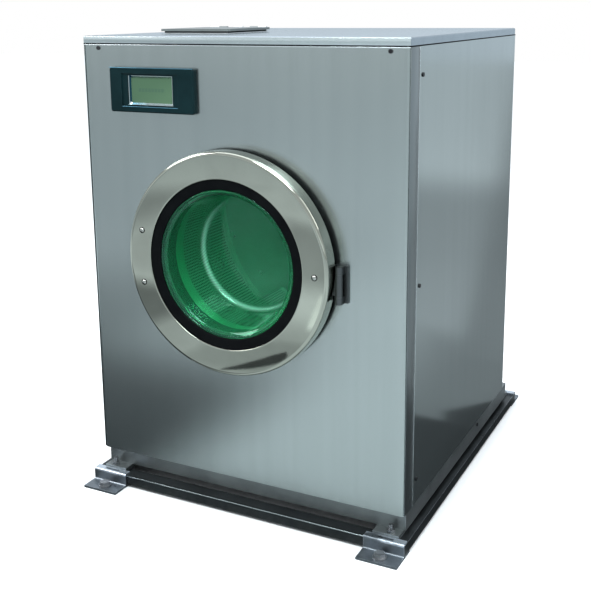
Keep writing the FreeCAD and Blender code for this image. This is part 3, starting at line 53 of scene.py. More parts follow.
# The circle of the ring's screws and where they stand on it, in degrees.
RING_SCREW_CIRCLE = 0.243
RING_SCREW_TURNS = (0.0, 164.0, 196.0)

# The photograph in pixels: its size, the focal length, and the point that the lens looks straight at.
PICTURE_SIZE = 591
FOCAL_LENGTH = 962.0
AXIS_COLUMN, AXIS_ROW = 295.0, 213.0
# The camera's place, how far it turns left, tips down and rolls, in degrees, and its sensor in mm.
CAMERA_PLACE = (1.162, -2.449, 1.273)
CAMERA_TURNS = (27.02, 12.02, -0.58)
SENSOR_WIDTH = 36

# How finely a brushed finish is scratched along X, Y and Z. The scratches run along the low number.
UPRIGHT_GRAIN = (1100, 1100, 16)
LEVEL_GRAIN = (16, 1100, 1100)
REARWARD_GRAIN = (1100, 16, 1100)
DRUM_GRAIN = (500, 14, 500)
TURNED_GRAIN = (200, 900, 200)
EVEN_GRAIN = (300, 300, 300)

# Painted shade on the floor that the steel mirrors, in patches, the last one a painted shadow under
# the machine: the middle's X and Y, half the width and half the depth, how far the edge fades, and how dark
# it is.
PAINTED_SHADE_PATCHES = (
    (-1.05, -0.60, 0.55, 0.58, 0.50, 0.96), (0.62, -0.10, 0.35, 0.36, 0.05, 0.96),
    (0.50, 0.50, 0.15, 0.30, 0.90, 0.72), (-0.60, -1.68, 0.16, 0.12, 0.22, 0.58),
    (-0.80, -1.72, 0.25, 0.15, 0.40, 0.42), (-1.00, -2.98, 0.25, 0.30, 0.40, 0.50),
    (-1.62, -1.75, 0.42, 0.45, 0.32, 0.76), (0.0, -1.2, 1.0, 0.60, 0.60, 0.27),
    (-1.75, -2.80, 0.15, 0.20, 0.40, 0.28), (-3.20, -3.40, 0.80, 0.30, 0.70, 0.50),
    (-16.0, -20.0, 8.0, 12.0, 8.0, 0.33), (1.60, 2.00, 1.00, 1.60, 1.50, 0.46),
    (0.0, 0.0, 0.46, 0.55, 0.2, 0.7))
# How far the outlines of the patches waver, and how far the straight-edged marks reach.
PATCH_WAVER = 0.05
MARK_REACH = 3.0


# ---------------------------------------------------------------- shader helpers
def put(tree, kind, wires=None, **settings):
    """Adds a shader node, sets it up and wires it."""
    made = tree.nodes.new("ShaderNode" + kind)
    for name, value in settings.items():
        setattr(made, name, value)
    connect(tree, made, wires or {})
    return made


def connect(tree, node, wires):
    """Wires sockets to a node's inputs and sets plain values on them."""
    for name, value in wires.items():
        if isinstance(value, bpy.types.NodeSocket):
            tree.links.new(value, node.inputs[name])
        else:
            node.inputs[name].default_value = value


def sum_up(tree, operation, *values, clamp=False):
    """One step of arithmetic on values or sockets."""
    return put(tree, "Math", dict(enumerate(values)), operation=operation, use_clamp=clamp).outputs[0]


def times(tree, first, second, clamp=False):
    """The product of two values, which for two masks is where both are."""
    return sum_up(tree, "MULTIPLY", first, second, clamp=clamp)


def plus(tree, first, second, clamp=False):
    """The sum of two values."""
    return sum_up(tree, "ADD", first, second, clamp=clamp)


def minus(tree, first, second, clamp=False):
    """The first value less the second."""
    return sum_up(tree, "SUBTRACT", first, second, clamp=clamp)


def most(tree, first, second):
    """The greater of two values."""
    return sum_up(tree, "MAXIMUM", first, second)


def distance(tree, first, second):
    """The length of the way given by two legs at a right angle."""
    return sum_up(tree, "SQRT", plus(tree, times(tree, first, first), times(tree, second, second)))


def past(tree, value, reach):
    """How far a value lies past a reach to either side of nought."""
    return minus(tree, sum_up(tree, "ABSOLUTE", value), reach)


def inside(tree, value, low, high):
    """1 where a value lies between two others, with hard ends."""
    return times(tree, sum_up(tree, "GREATER_THAN", value, low), sum_up(tree, "LESS_THAN", value, high))


def ramp(tree, value, low, high):
    """0 at the first number and 1 at the second, straight between them."""
    return put(tree, "MapRange", {"Value": value, "From Min": low, "From Max": high}).outputs[0]


def between(tree, value, low, high, soft):
    """1 where a value lies between two others, with soft ends."""
    rise = ramp(tree, value, low - soft, low + soft)
    fall = ramp(tree, value, high + soft, high - soft)
    return times(tree, rise, fall)


def stripes(tree, value, count, gap):
    """This many stripes for each step of 1, with a gap before every one."""
    return sum_up(tree, "GREATER_THAN", sum_up(tree, "FRACT", times(tree, value, count)), gap)


def vary(tree, mask, low, high):
    """A mask stretched between two numbers."""
    return put(tree, "MapRange", {"Value": mask, "To Min": low, "To Max": high}).outputs[0]


def noise(tree, place, scale, detail=2.0, **more):
    """Cloudy noise."""
    return put(tree, "TexNoise", {"Vector": place, "Scale": scale, "Detail": detail, **more}).outputs["Fac"]


def split(tree, vector):
    """The three parts of a vector."""
    return put(tree, "SeparateXYZ", {0: vector}).outputs


def tint(tree, mask, under, over):
    """A colour, or the socket of one, with another colour over it where the mask is."""
    if not isinstance(under, bpy.types.NodeSocket):
        under = (*under, 1)
    return put(tree, "Mix", {0: mask, 6: under, 7: (*over, 1)}, data_type="RGBA").outputs[2]


def new_group(name, inputs, outputs):
    """An empty node group with its sockets."""
    group = bpy.data.node_groups.new(name, "ShaderNodeTree")
    for label, value in inputs.items():
        kind = "NodeSocketVector" if hasattr(value, "__len__") else "NodeSocketFloat"
        socket = group.interface.new_socket(label, in_out="INPUT", socket_type=kind)
        socket.default_value = value
    for label in outputs:
        group.interface.new_socket(label, in_out="OUTPUT", socket_type="NodeSocketFloat")
    start = group.nodes.new("NodeGroupInput").outputs
    end = group.nodes.new("NodeGroupOutput").inputs
    return group, start, end


def brushed_grain_group():
    """Long fine scratches of the rolling and brushing, with slow bands in them."""
    group, given, out = new_group(
        "brushed_grain", {"Place": (0, 0, 0), "Stretch": (900, 900, 14)}, ("Scratches", "Bands"))
    stretched = put(group, "VectorMath", {0: given["Place"], 1: given["Stretch"]}, operation="MULTIPLY")
    slow = put(group, "VectorMath", {0: stretched.outputs[0], "Scale": 0.035}, operation="SCALE")
    fine = noise(group, stretched.outputs[0], 1.0, 3.0, Roughness=0.65)
    group.links.new(fine, out["Scratches"])
    group.links.new(noise(group, slow.outputs[0], 1.0), out["Bands"])
    return group


def edge_wear_group():
    """Where edges and corners have been rubbed, broken up by a patchy noise."""
    group, given, out = new_group(
        "edge_wear", {"Place": (0, 0, 0), "Width": 0.002, "Patches": 60.0}, ("Wear",))
    soft = put(group, "Bevel", {"Radius": given["Width"]}, samples=6).outputs[0]
    flat = put(group, "NewGeometry").outputs["Normal"]
    turn = put(group, "VectorMath", {0: soft, 1: flat}, operation="DOT_PRODUCT").outputs["Value"]
    rubbed = ramp(group, minus(group, 1.0, turn), 0.01, 0.16)
    patch = noise(group, given["Place"], given["Patches"], 4.0, Roughness=0.7)
    broken = ramp(group, patch, 0.36, 0.62)
    group.links.new(times(group, rubbed, broken, clamp=True), out["Wear"])
    return group


def smudge_group():
    """Cloudy marks of hands and cloths, and a few specks."""
    group, given, out = new_group("smudges", {"Place": (0, 0, 0), "Size": 5.0}, ("Clouds", "Specks"))
    cloud = noise(group, given["Place"], given["Size"], 5.0, Roughness=0.55, Distortion=0.25)
    speck = noise(group, given["Place"], times(group, given["Size"], 36.0))
    group.links.new(ramp(group, cloud, 0.3, 0.72), out["Clouds"])
    group.links.new(ramp(group, speck, 0.62, 0.74), out["Specks"])
    return group


def floor_dust_group():
    """Dust and splashes that thin out with the height above the floor."""
    group, given, out = new_group("floor_dust", {"Place": (0, 0, 0), "Reach": 0.25}, ("Dust",))
    height = sum_up(group, "DIVIDE", split(group, given["Place"])["Z"], given["Reach"])
    low = minus(group, 1.0, height, clamp=True)
    patch = noise(group, given["Place"], 22.0, 6.0, Roughness=0.7)
    group.links.new(times(group, low, ramp(group, patch, 0.38, 0.75), clamp=True), out["Dust"])
    return group


def perforation_group():
    """Rows of round holes in the drum's wall, staggered, with plain bands at both ends."""
    group, given, out = new_group(
        "drum_perforation",
        {"Place": (0, 0, 0), "Radius": 0.382, "Row": 0.0088, "Pitch": 0.0085, "Hole": 0.0024,
         "Front": -0.412, "Rear": 0.078}, ("Holes", "Dimples"))
    part = split(group, given["Place"])
    angle = sum_up(group, "ARCTAN2", part["Z"], part["X"])
    row = sum_up(group, "DIVIDE", times(group, angle, given["Radius"]), given["Row"])
    shift = times(group, sum_up(group, "MODULO", sum_up(group, "FLOOR", row), 2.0), 0.5)
    along = plus(group, sum_up(group, "DIVIDE", part["Y"], given["Pitch"]), shift)
    off_row = times(group, minus(group, sum_up(group, "FRACT", row), 0.5), given["Row"])
    off_hole = times(group, minus(group, sum_up(group, "FRACT", along), 0.5), given["Pitch"])
    ratio = sum_up(group, "DIVIDE", distance(group, off_row, off_hole), given["Hole"])
    band = inside(group, part["Y"], given["Front"], given["Rear"])
    group.links.new(times(group, ramp(group, ratio, 1.08, 0.92), band), out["Holes"])
    group.links.new(times(group, ramp(group, ratio, 1.9, 1.0), band), out["Dimples"])
    return group


GRAIN = brushed_grain_group()
WEAR = edge_wear_group()
SMUDGE = smudge_group()
DUST = floor_dust_group()
HOLES = perforation_group()


def use(tree, group, wires):
    """Places a shared effect and gives its masks."""
    made = tree.nodes.new("ShaderNodeGroup")
    made.node_tree = group
    connect(tree, made, wires)
    return made.outputs


class Finish:
    """A material under way: its tree, its shader and the place on the piece."""

    def __init__(self, name, centre=(0, 0, 0)):
        self.material = bpy.data.materials.new(name)
        self.material.use_nodes = True
        self.tree = self.material.node_tree
        self.shader = self.tree.nodes["Principled BSDF"]
        where = put(self.tree, "TexCoord").outputs["Object"]
        back = tuple(-part for part in centre)
        self.place = put(self.tree, "Mapping", {"Vector": where, "Location": back}).outputs[0]

    def set(self, **values):
        """Sets plain values on the shader's own sockets, or wires them."""
        for name, value in values.items():
            if hasattr(value, "__len__"):
                value = (*value, 1)
            connect(self.tree, self.shader, {name.replace("_", " "): value})

    def smudges(self, size):
        """The masks of clouds and specks."""
        return use(self.tree, SMUDGE, {"Place": self.place, "Size": size})

    def rubbed(self, width, patches):
        """The mask of rubbed edges of this width in metres."""
        return use(self.tree, WEAR, {"Place": self.place, "Width": width, "Patches": patches})["Wear"]

    def dust(self, reach):
        """The mask of dust up to this height in metres."""
        return use(self.tree, DUST, {"Place": self.place, "Reach": reach})["Dust"]

    def noise(self, scale, detail=2.0):
        """Cloudy noise on the piece."""
        return noise(self.tree, self.place, scale, detail)

    def relief(self, height, depth, strength, under=None):
        """A bump of the given depth in metres."""
        wires = {"Height": height, "Distance": depth, "Strength": strength}
        if under is not None:
            wires["Normal"] = under
        bump = put(self.tree, "Bump", wires).outputs[0]
        self.tree.links.new(bump, self.shader.inputs["Normal"])
        return bump


# ---------------------------------------------------------------- finishes
def brushed_steel(name, dark, light, gloss, stretch, dust=None):
    """Stainless sheet with scratches along one way, smudges and rubbed edges."""
    steel = Finish(name)
    tree = steel.tree
    grain = use(tree, GRAIN, {"Place": steel.place, "Stretch": stretch})
    cloud = steel.smudges(2.6)
    shade = plus(tree, times(tree, grain["Scratches"], 0.45), times(tree, grain["Bands"], 0.55))
    bare = tuple(min(1, part * 1.5) for part in light)
    rubbed = times(tree, steel.rubbed(0.0015, 40.0), 0.5)
    color = tint(tree, rubbed, tint(tree, shade, dark, light), bare)
    if dust:
        color = tint(tree, times(tree, steel.dust(dust), 0.4), color, (0.13, 0.13, 0.12))
    rough = plus(tree, vary(tree, grain["Scratches"], gloss - 0.03, gloss + 0.03),
                 vary(tree, cloud["Clouds"], -0.012, 0.02))
    steel.set(Base_Color=color, Metallic=1.0, Roughness=rough)
    steel.relief(grain["Scratches"], depth=0.00002, strength=0.2)
    return steel.material


def display_rim():
    """The bright frame of the display, with painted shade on its left slope, which faces away from the
    light.
    """
    material = brushed_steel("display_rim", (0.42, 0.50, 0.52), (0.75, 0.82, 0.84), 0.2, EVEN_GRAIN)
    tree = material.node_tree
    socket = tree.nodes["Principled BSDF"].inputs["Base Color"]
    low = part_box("display_frame")[0]
    part = split(tree, put(tree, "TexCoord").outputs["Object"])
    # Painted shade: the left slope is made dark and bluish.
    slope = between(tree, part["X"], low.x + 0.0015, low.x + 0.0095, 0.0004)
    left = times(tree, slope, sum_up(tree, "GREATER_THAN", part["Z"], low.z + 0.007))
    tree.links.new(tint(tree, left, socket.links[0].from_socket, (0.02, 0.07, 0.10)), socket)
    return material


def painted_metal(name, dark, light, gloss, bare, dust=None, metal=0.25):
    """Sprayed paint with orange peel, chipped to bare metal on its edges."""
    paint = Finish(name)
    tree = paint.tree
    cloud = paint.smudges(9.0)
    rubbed = times(tree, paint.rubbed(0.0022, 85.0), 0.8)
    color = tint(tree, rubbed, tint(tree, cloud["Clouds"], dark, light), bare)
    if dust:
        color = tint(tree, times(tree, paint.dust(dust), 0.5), color, (0.17, 0.165, 0.15))
    paint.set(Base_Color=color, Metallic=vary(tree, rubbed, metal, 1.0),
              Roughness=vary(tree, cloud["Clouds"], gloss - 0.06, gloss + 0.08))
    paint.relief(paint.noise(420.0), depth=0.00006, strength=0.7)
    return paint.material


def zinc_plate():
    """Bright zinc on thick bent sheet: pale spangle, scuffs, a painted highlight on the tops and a bluish
    cast.
    """
    zinc = Finish("zinc_plate")
    tree = zinc.tree
    cells = put(tree, "TexVoronoi", {"Vector": zinc.place, "Scale": 160.0}, feature="SMOOTH_F1")
    spangle = cells.outputs["Distance"]
    cloud = zinc.smudges(14.0)
    mask = plus(tree, times(tree, spangle, 0.35), times(tree, cloud["Clouds"], 0.65))
    color = tint(tree, mask, (0.19, 0.215, 0.24), (0.34, 0.38, 0.425))
    color = tint(tree, times(tree, zinc.rubbed(0.003, 50.0), 0.85), color, (0.85, 0.90, 1.0))
    # Painted highlight: the tops of the flanges are made pale and bluish where the clouds are, as lit from
    # above.
    top = between(tree, split(tree, zinc.place)["Z"], 0.0305, 1.0, 0.0005)
    bright = times(tree, top, between(tree, cloud["Clouds"], 0.35, 2.0, 0.1))
    color = tint(tree, times(tree, bright, 0.8), color, (0.82, 0.90, 1.0))
    color = tint(tree, times(tree, zinc.dust(0.04), 0.5), color, (0.10, 0.10, 0.095))
    zinc.set(Base_Color=color, Metallic=0.95, Roughness=vary(tree, mask, 0.24, 0.46))
    zinc.relief(spangle, depth=0.00008, strength=0.5)
    return zinc.material


def bright_bolt_steel():
    """Turned and plated steel of bolts, nuts and pins."""
    steel = Finish("bright_bolt_steel")
    tree = steel.tree
    cloud = steel.smudges(40.0)
    color = tint(tree, cloud["Clouds"], (0.20, 0.21, 0.22), (0.40, 0.41, 0.425))
    color = tint(tree, steel.rubbed(0.0008, 200.0), color, (0.9, 0.9, 0.92))
    steel.set(Base_Color=color, Metallic=1.0, Roughness=vary(tree, cloud["Clouds"], 0.22, 0.42))
    steel.relief(steel.noise(900.0), depth=0.00003, strength=0.6)
    return steel.material


def black_screw_steel():
    """Blackened steel of the small panel screws."""
    steel = Finish("black_screw_steel")
    tree = steel.tree
    cloud = steel.smudges(60.0)
    color = tint(tree, cloud["Clouds"], (0.012, 0.012, 0.014), (0.035, 0.036, 0.04))
    color = tint(tree, times(tree, steel.rubbed(0.0006, 300.0), 0.3), color, (0.3, 0.3, 0.31))
    steel.set(Base_Color=color, Metallic=0.7, Roughness=vary(tree, cloud["Clouds"], 0.3, 0.5))
    steel.relief(cloud["Specks"], depth=0.00004, strength=0.5)
    return steel.material


def moulded_plastic(name, dark, light, gloss, shine=0.5):
    """Injection-moulded plastic with a fine leathered skin."""
    plastic = Finish(name)
    tree = plastic.tree
    skin = put(tree, "TexVoronoi", {"Vector": plastic.place, "Scale": 750.0}).outputs["Distance"]
    cloud = plastic.smudges(12.0)
    scuffed = tuple(min(1, part * 3 + 0.05) for part in light)
    rubbed = times(tree, plastic.rubbed(0.0018, 70.0), 0.25)
    color = tint(tree, rubbed, tint(tree, cloud["Clouds"], dark, light), scuffed)
    plastic.set(Base_Color=color, Metallic=0.0, Specular_IOR_Level=shine,
                Roughness=vary(tree, cloud["Clouds"], gloss - 0.05, gloss + 0.07))
    plastic.relief(skin, depth=0.00008, strength=0.6)
    return plastic.material


def black_rubber():
    """Matt rubber with a bloom of fine dust."""
    rubber = Finish("black_rubber")
    tree = rubber.tree
    cloud = rubber.smudges(18.0)
    color = tint(tree, cloud["Clouds"], (0.0016, 0.002, 0.0028), (0.004, 0.0048, 0.0055))
    color = tint(tree, times(tree, cloud["Specks"], 0.12), color, (0.06, 0.06, 0.06))
    rubber.set(Base_Color=color, Specular_IOR_Level=0.05, Roughness=vary(tree, cloud["Clouds"], 0.42, 0.6))
    rubber.relief(rubber.noise(650.0, 3.0), depth=0.00006, strength=0.6)
    return rubber.material


def polished_ring_steel():
    """The mirror-polished door ring: faint hand marks and shallow waves from pressing."""
    steel = Finish("polished_ring_steel", (DRUM_X, -0.53, DRUM_Z))
    tree = steel.tree
    cloud = steel.smudges(7.0)
    color = tint(tree, cloud["Clouds"], (0.39, 0.405, 0.355), (0.465, 0.485, 0.425))
    color = tint(tree, times(tree, cloud["Specks"], 0.25), color, (0.28, 0.29, 0.26))
    steel.set(Base_Color=color, Metallic=1.0, Roughness=vary(tree, cloud["Clouds"], 0.02, 0.05))
    waves = steel.relief(steel.noise(9.0, 1.0), depth=0.0002, strength=0.5)
    steel.relief(steel.noise(300.0, 3.0), depth=0.00002, strength=0.4, under=waves)
    return steel.material


def bowl_glass():
    """Thick green-tinted pressed glass. A painted highlight glows faintly on its deep bend at the lower
    left.
    """
    middle = -0.45
    glass = Finish("bowl_glass", (DRUM_X, middle, DRUM_Z))
    tree = glass.tree
    cloud = glass.smudges(6.0)
    color = tint(tree, cloud["Clouds"], (0.12, 0.70, 0.38), (0.15, 0.76, 0.43))
    glass.set(Base_Color=color, Metallic=0.0, IOR=1.42, Transmission_Weight=0.94,
              Specular_Tint=(0.6, 1.0, 0.9), Roughness=vary(tree, cloud["Clouds"], 0.0, 0.03))
    glass.relief(glass.noise(14.0, 1.0), depth=0.0003, strength=0.2)

    # Painted highlight: the emission makes the deep bend glow, most at the lower left.
    part = split(tree, glass.place)
    out = distance(tree, part["X"], part["Z"])
    bend_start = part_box("door_glass")[1].y - 0.022 - middle
    bend = times(tree, between(tree, out, 0.1475, 0.1535, 0.003),
                 between(tree, part["Y"], bend_start, 1.0, 0.002))
    toward = plus(tree, times(tree, part["X"], -0.57), times(tree, part["Z"], -0.82))
    lower_left = ramp(tree, sum_up(tree, "DIVIDE", toward, out), -0.25, 0.95)
    painted_highlight_glow = times(tree, times(tree, bend, lower_left), 0.30)
    glass.set(Emission_Color=(0.42, 0.88, 0.72), Emission_Strength=painted_highlight_glow)

    let_light = put(tree, "BsdfTransparent", {"Color": (0.32, 0.90, 0.62, 1)}).outputs[0]
    is_shadow = put(tree, "LightPath").outputs["Is Shadow Ray"]
    choice = put(tree, "MixShader", {0: is_shadow, 1: glass.shader.outputs[0], 2: let_light})
    tree.links.new(choice.outputs[0], tree.nodes["Material Output"].inputs[0])
    return glass.material


def drum_steel(name, hole_radius=None):
    """Bright washed stainless, with rows of holes at a radius where it is the drum's wall."""
    steel = Finish(name, (DRUM_X, 0, DRUM_Z))
    tree = steel.tree
    cloud = steel.smudges(5.0)
    grain = use(tree, GRAIN, {"Place": steel.place, "Stretch": DRUM_GRAIN})
    shade = times(tree, grain["Bands"], cloud["Clouds"])
    color = tint(tree, shade, (0.62, 0.64, 0.64), (0.84, 0.86, 0.86))
    rough = vary(tree, cloud["Clouds"], 0.24, 0.4)
    height, depth = grain["Scratches"], 0.00003
    if hole_radius:
        mask = use(tree, HOLES, {"Place": steel.place, "Radius": hole_radius})
        color = tint(tree, mask["Holes"], color, (0.01, 0.012, 0.012))
        rough = plus(tree, rough, times(tree, mask["Holes"], 0.5))
        height, depth = minus(tree, 1.0, mask["Dimples"]), 0.0006
    steel.set(Base_Color=color, Metallic=0.8, Roughness=rough)
    steel.relief(height, depth, strength=0.8)
    return steel.material


def green_display():
    """The lit display: a dull green field of fine cells with one row of plain bars."""
    low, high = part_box("display_screen")
    display = Finish("green_display", (low.x, 0, low.z))
    tree = display.tree
    part = split(tree, display.place)
    across = sum_up(tree, "DIVIDE", part["X"], high.x - low.x)
    up = sum_up(tree, "DIVIDE", part["Z"], high.z - low.z)
    fade = plus(tree, times(tree, across, 0.45), times(tree, up, -0.35), clamp=True)
    color = tint(tree, fade, (0.045, 0.098, 0.052), (0.082, 0.155, 0.085))
    cells = times(tree, stripes(tree, across, 90.0, 0.14), stripes(tree, up, 46.0, 0.14))
    color = tint(tree, times(tree, minus(tree, 1.0, cells), 0.12), color, (0.05, 0.10, 0.06))
    field = times(tree, inside(tree, across, 0.18, 0.82), inside(tree, up, 0.44, 0.58))
    bars = times(tree, field, stripes(tree, across, 12.5, 0.22))
    color = tint(tree, times(tree, bars, 0.55), color, (0.03, 0.075, 0.05))
    display.set(Base_Color=color, Emission_Color=color, Emission_Strength=0.2, Roughness=0.16,
                Coat_Weight=0.6, Coat_Roughness=0.05)
    display.relief(display.noise(500.0), depth=0.00001, strength=0.5)
    return display.material


def cast_iron():
    """Sand-cast iron under a thin grey paint."""
    iron = Finish("painted_cast_iron")
    tree = iron.tree
    sand = noise(tree, iron.place, 260.0, 5.0, Roughness=0.7)
    color = tint(tree, iron.smudges(8.0)["Clouds"], (0.12, 0.125, 0.13), (0.22, 0.23, 0.235))
    color = tint(tree, times(tree, iron.rubbed(0.002, 60.0), 0.7), color, (0.45, 0.45, 0.44))
    iron.set(Base_Color=color, Metallic=0.5, Roughness=vary(tree, sand, 0.45, 0.7))
    iron.relief(sand, depth=0.0004, strength=0.7)
    return iron.material


# ---------------------------------------------------------------- shape helpers
def finish_mesh(name, shape, material, body, replaces=()):
    """Turns a bmesh into a smooth riding piece."""
    mesh = bpy.data.meshes.new(name)
    shape.to_mesh(mesh)
    shape.free()
    mesh.shade_smooth()
    mesh.set_sharp_from_angle(angle=math.radians(32))
    piece = bpy.data.objects.new(name, mesh)
    bpy.context.scene.collection.objects.link(piece)
    mesh.materials.append(material)
    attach(piece, body)
    if replaces:
        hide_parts(*replaces)


def turned(profile, steps, x=DRUM_X, z=DRUM_Z, closed=True):
    """A bmesh turned round an axis along Y from (radius, y) points."""
    shape = bmesh.new()
    points = [shape.verts.new((x + radius, y, z)) for radius, y in profile]
    edges = [shape.edges.new(pair) for pair in zip(points, points[1:])]
    if closed:
        edges.append(shape.edges.new((points[-1], points[0])))
    bmesh.ops.spin(shape, geom=points + edges, cent=(x, 0, z), axis=(0, 1, 0), angle=math.tau,
                   steps=steps, use_merge=True)
    bmesh.ops.remove_doubles(shape, verts=shape.verts, dist=1e-6)
    bmesh.ops.recalc_face_normals(shape, faces=shape.faces)
    return shape


def arc(radius, y, bend, start, end, steps):
    """Points of a rounded corner on a turned profile."""
    made = []
    for step in range(steps + 1):
        way = math.radians(start + (end - start) * step / steps)
        made.append((radius + bend * math.cos(way), y + bend * math.sin(way)))
    return made


# ---------------------------------------------------------------- camera and light
def set_camera():
    """The photograph's place: to the right of the front, a little above the cover."""
    yaw, pitch, roll = (math.radians(turn) for turn in CAMERA_TURNS)
    ahead = Vector((-math.sin(yaw) * math.cos(pitch), math.cos(yaw) * math.cos(pitch), -math.sin(pitch)))
    level = Vector((math.cos(yaw), math.sin(yaw), 0))
    above = level.cross(ahead)
    right = level * math.cos(roll) + above * math.sin(roll)
    up = above * math.cos(roll) - level * math.sin(roll)
    data = bpy.data.cameras.new("camera")
    data.lens = FOCAL_LENGTH / PICTURE_SIZE * SENSOR_WIDTH
    data.sensor_width = SENSOR_WIDTH
    data.shift_x = (PICTURE_SIZE / 2 - AXIS_COLUMN) / PICTURE_SIZE
    data.shift_y = (AXIS_ROW - PICTURE_SIZE / 2) / PICTURE_SIZE
    camera = bpy.data.objects.new("camera", data)
    axes = zip(right, up, -ahead, CAMERA_PLACE)
    camera.matrix_world = Matrix([*axes, (0, 0, 0, 1)])
    bpy.context.scene.collection.objects.link(camera)
    bpy.context.scene.camera = camera


def soft_box(name, place, aim, width, height, power, color=(1, 1, 1)):
    """A large studio light that faces a point."""
    data = bpy.data.lights.new(name, "AREA")
    data.shape = "RECTANGLE"
    data.size, data.size_y = width, height
    data.energy = power
    data.color = color
    light = bpy.data.objects.new(name, data)
    light.location = place
    light.rotation_euler = (Vector(aim) - Vector(place)).to_track_quat("-Z", "Y").to_euler()
    bpy.context.scene.collection.objects.link(light)


def drum_lamp():
    """A small lamp under the drum's top, hidden from the camera and from rays through the glass."""
    data = bpy.data.lights.new("drum_light", "AREA")
    data.shape = "DISK"
    data.size = 0.26
    data.energy = 0.38
    lamp = bpy.data.objects.new("drum_light", data)
    lamp.location = (DRUM_X - 0.02, -0.35, DRUM_Z + 0.26)
    lamp.rotation_euler = Vector((0.02, 0.42, -0.45)).to_track_quat("-Z", "Y").to_euler()
    lamp.visible_camera = False
    lamp.visible_transmission = False
    bpy.context.scene.collection.objects.link(lamp)


def painted_floor_shade(tree, where):
    """The painted shade on the mirrored floor: soft patches with wavering outlines, a wedge and a lens."""
    waver = put(tree, "TexNoise", {"Vector": where, "Scale": 2.2, "Detail": 2.0}).outputs["Color"]
    moved = put(tree, "VectorMath", {0: waver, "Scale": PATCH_WAVER}, operation="SCALE").outputs[0]
    place = put(tree, "VectorMath", {0: where, 1: moved}, operation="ADD").outputs[0]
    shade = 0.0
    for x, y, wide, deep, soft, dark in PAINTED_SHADE_PATCHES:
        middle = (-x - PATCH_WAVER / 2, -y - PATCH_WAVER / 2, 0)
        part = split(tree, put(tree, "VectorMath", {0: place, 1: middle}, operation="ADD").outputs[0])
        out = most(tree, most(tree, past(tree, part["X"], wide), past(tree, part["Y"], deep)), 0.0)
        patch = put(tree, "MapRange", {"Value": out, "From Max": soft, "To Min": dark, "To Max": 0.0},
                    interpolation_type="SMOOTHSTEP").outputs[0]
        shade = most(tree, shade, patch)

    # Painted shade: the wedge lies beside and behind the cabinet, and its near part is darker.
    spot = split(tree, where)
    slant = minus(tree, spot["X"], times(tree, spot["Y"], 0.23))
    wedge = times(tree, between(tree, slant, -MARK_REACH, 0.54, 0.012),
                  sum_up(tree, "GREATER_THAN", spot["Y"], 0.15))
    shade = most(tree, shade, times(tree, wedge, 0.70))
    reach = plus(tree, spot["Y"], times(tree, spot["X"], 1.27))
    close = times(tree, wedge, between(tree, reach, -MARK_REACH, 1.135, 0.02))
    shade = most(tree, shade, times(tree, close, 0.95))

    # Painted shade: the lens lies in front on the left, with a straight left edge and a round right one.
    along = plus(tree, spot["X"], times(tree, spot["Y"], 0.42))
    from_middle = sum_up(tree, "DIVIDE", plus(tree, spot["Y"], 1.62), 0.14)
    edge = plus(tree, along, times(tree, times(tree, from_middle, from_middle), 0.10))
    lens = times(tree, between(tree, along, -1.243, MARK_REACH, 0.006),
                 between(tree, edge, -MARK_REACH, -1.145, 0.008))
    return most(tree, shade, times(tree, lens, 0.97))


def pale_floor():
    """Pale where the camera looks; what the steel mirrors is a duller floor of painted light and shade:
    lighter further off, darker near the machine as a painted shadow.
    """
    material = bpy.data.materials.new("pale_floor")
    material.use_nodes = True
    tree = material.node_tree
    where = put(tree, "TexCoord").outputs["Object"]
    spot = split(tree, where)
    beside = most(tree, past(tree, spot["X"], 0.44), past(tree, spot["Y"], 0.50))
    open_floor = put(tree, "MapRange", {"Value": beside, "From Max": 0.12, "To Max": 0.45}).outputs[0]
    seen = tree.nodes["Principled BSDF"]
    connect(tree, seen, {"Base Color": (0.86, 0.87, 0.88, 1), "Roughness": 0.9,
                         "Emission Color": (1, 1, 1, 1), "Emission Strength": open_floor})

    far = put(tree, "VectorMath", {0: where}, operation="LENGTH").outputs["Value"]
    # Painted light and shade: the mirrored floor is made lighter further off and darker in patches.
    ground = tint(tree, ramp(tree, far, 2.6, 5.0), (0.60, 0.65, 0.66), (0.80, 0.86, 0.87))
    ground = tint(tree, painted_floor_shade(tree, where), ground, (0.03, 0.033, 0.035))
    # A painted highlight: a thin pale strip that the steel mirrors runs along the floor in front.
    across = minus(tree, spot["X"], times(tree, spot["Y"], 0.38))
    strip = times(tree, between(tree, across, 0.208, 0.242, 0.005),
                  between(tree, spot["Y"], -2.40, -2.0, 0.03))
    mirrored = put(tree, "BsdfDiffuse", {"Color": tint(tree, strip, ground, (0.76, 0.82, 0.81))})
    is_camera = put(tree, "LightPath").outputs["Is Camera Ray"]
    choice = put(tree, "MixShader", {0: is_camera, 1: mirrored.outputs[0], 2: seen.outputs[0]})
    tree.links.new(choice.outputs[0], tree.nodes["Material Output"].inputs[0])
    return material


def pale_surround():
    """White where the camera looks. The steel sees it dimmer, bluer at the rear, brighter low in front."""
    world = bpy.data.worlds.new("pale_surround")
    bpy.context.scene.world = world
    world.use_nodes = True
    tree = world.node_tree
    way = split(tree, put(tree, "TexCoord").outputs["Generated"])
    up = ramp(tree, way["Z"], 0.0, 0.9)
    color = tint(tree, ramp(tree, way["Y"], -0.2, 1.0), (0.50, 0.54, 0.54), (0.66, 0.76, 0.84))
    color = tint(tree, up, color, (0.80, 0.84, 0.88))
    ahead = between(tree, way["Y"], -3.0, -0.35, 0.12)
    band = times(tree, ahead, between(tree, way["Z"], 0.03, 0.16, 0.03))
    color = tint(tree, band, color, (1.05, 1.15, 1.2))
    is_camera = put(tree, "LightPath").outputs["Is Camera Ray"]
    connect(tree, tree.nodes["Background"],
            {"Color": tint(tree, is_camera, color, (1, 1, 1)), "Strength": 1.0})


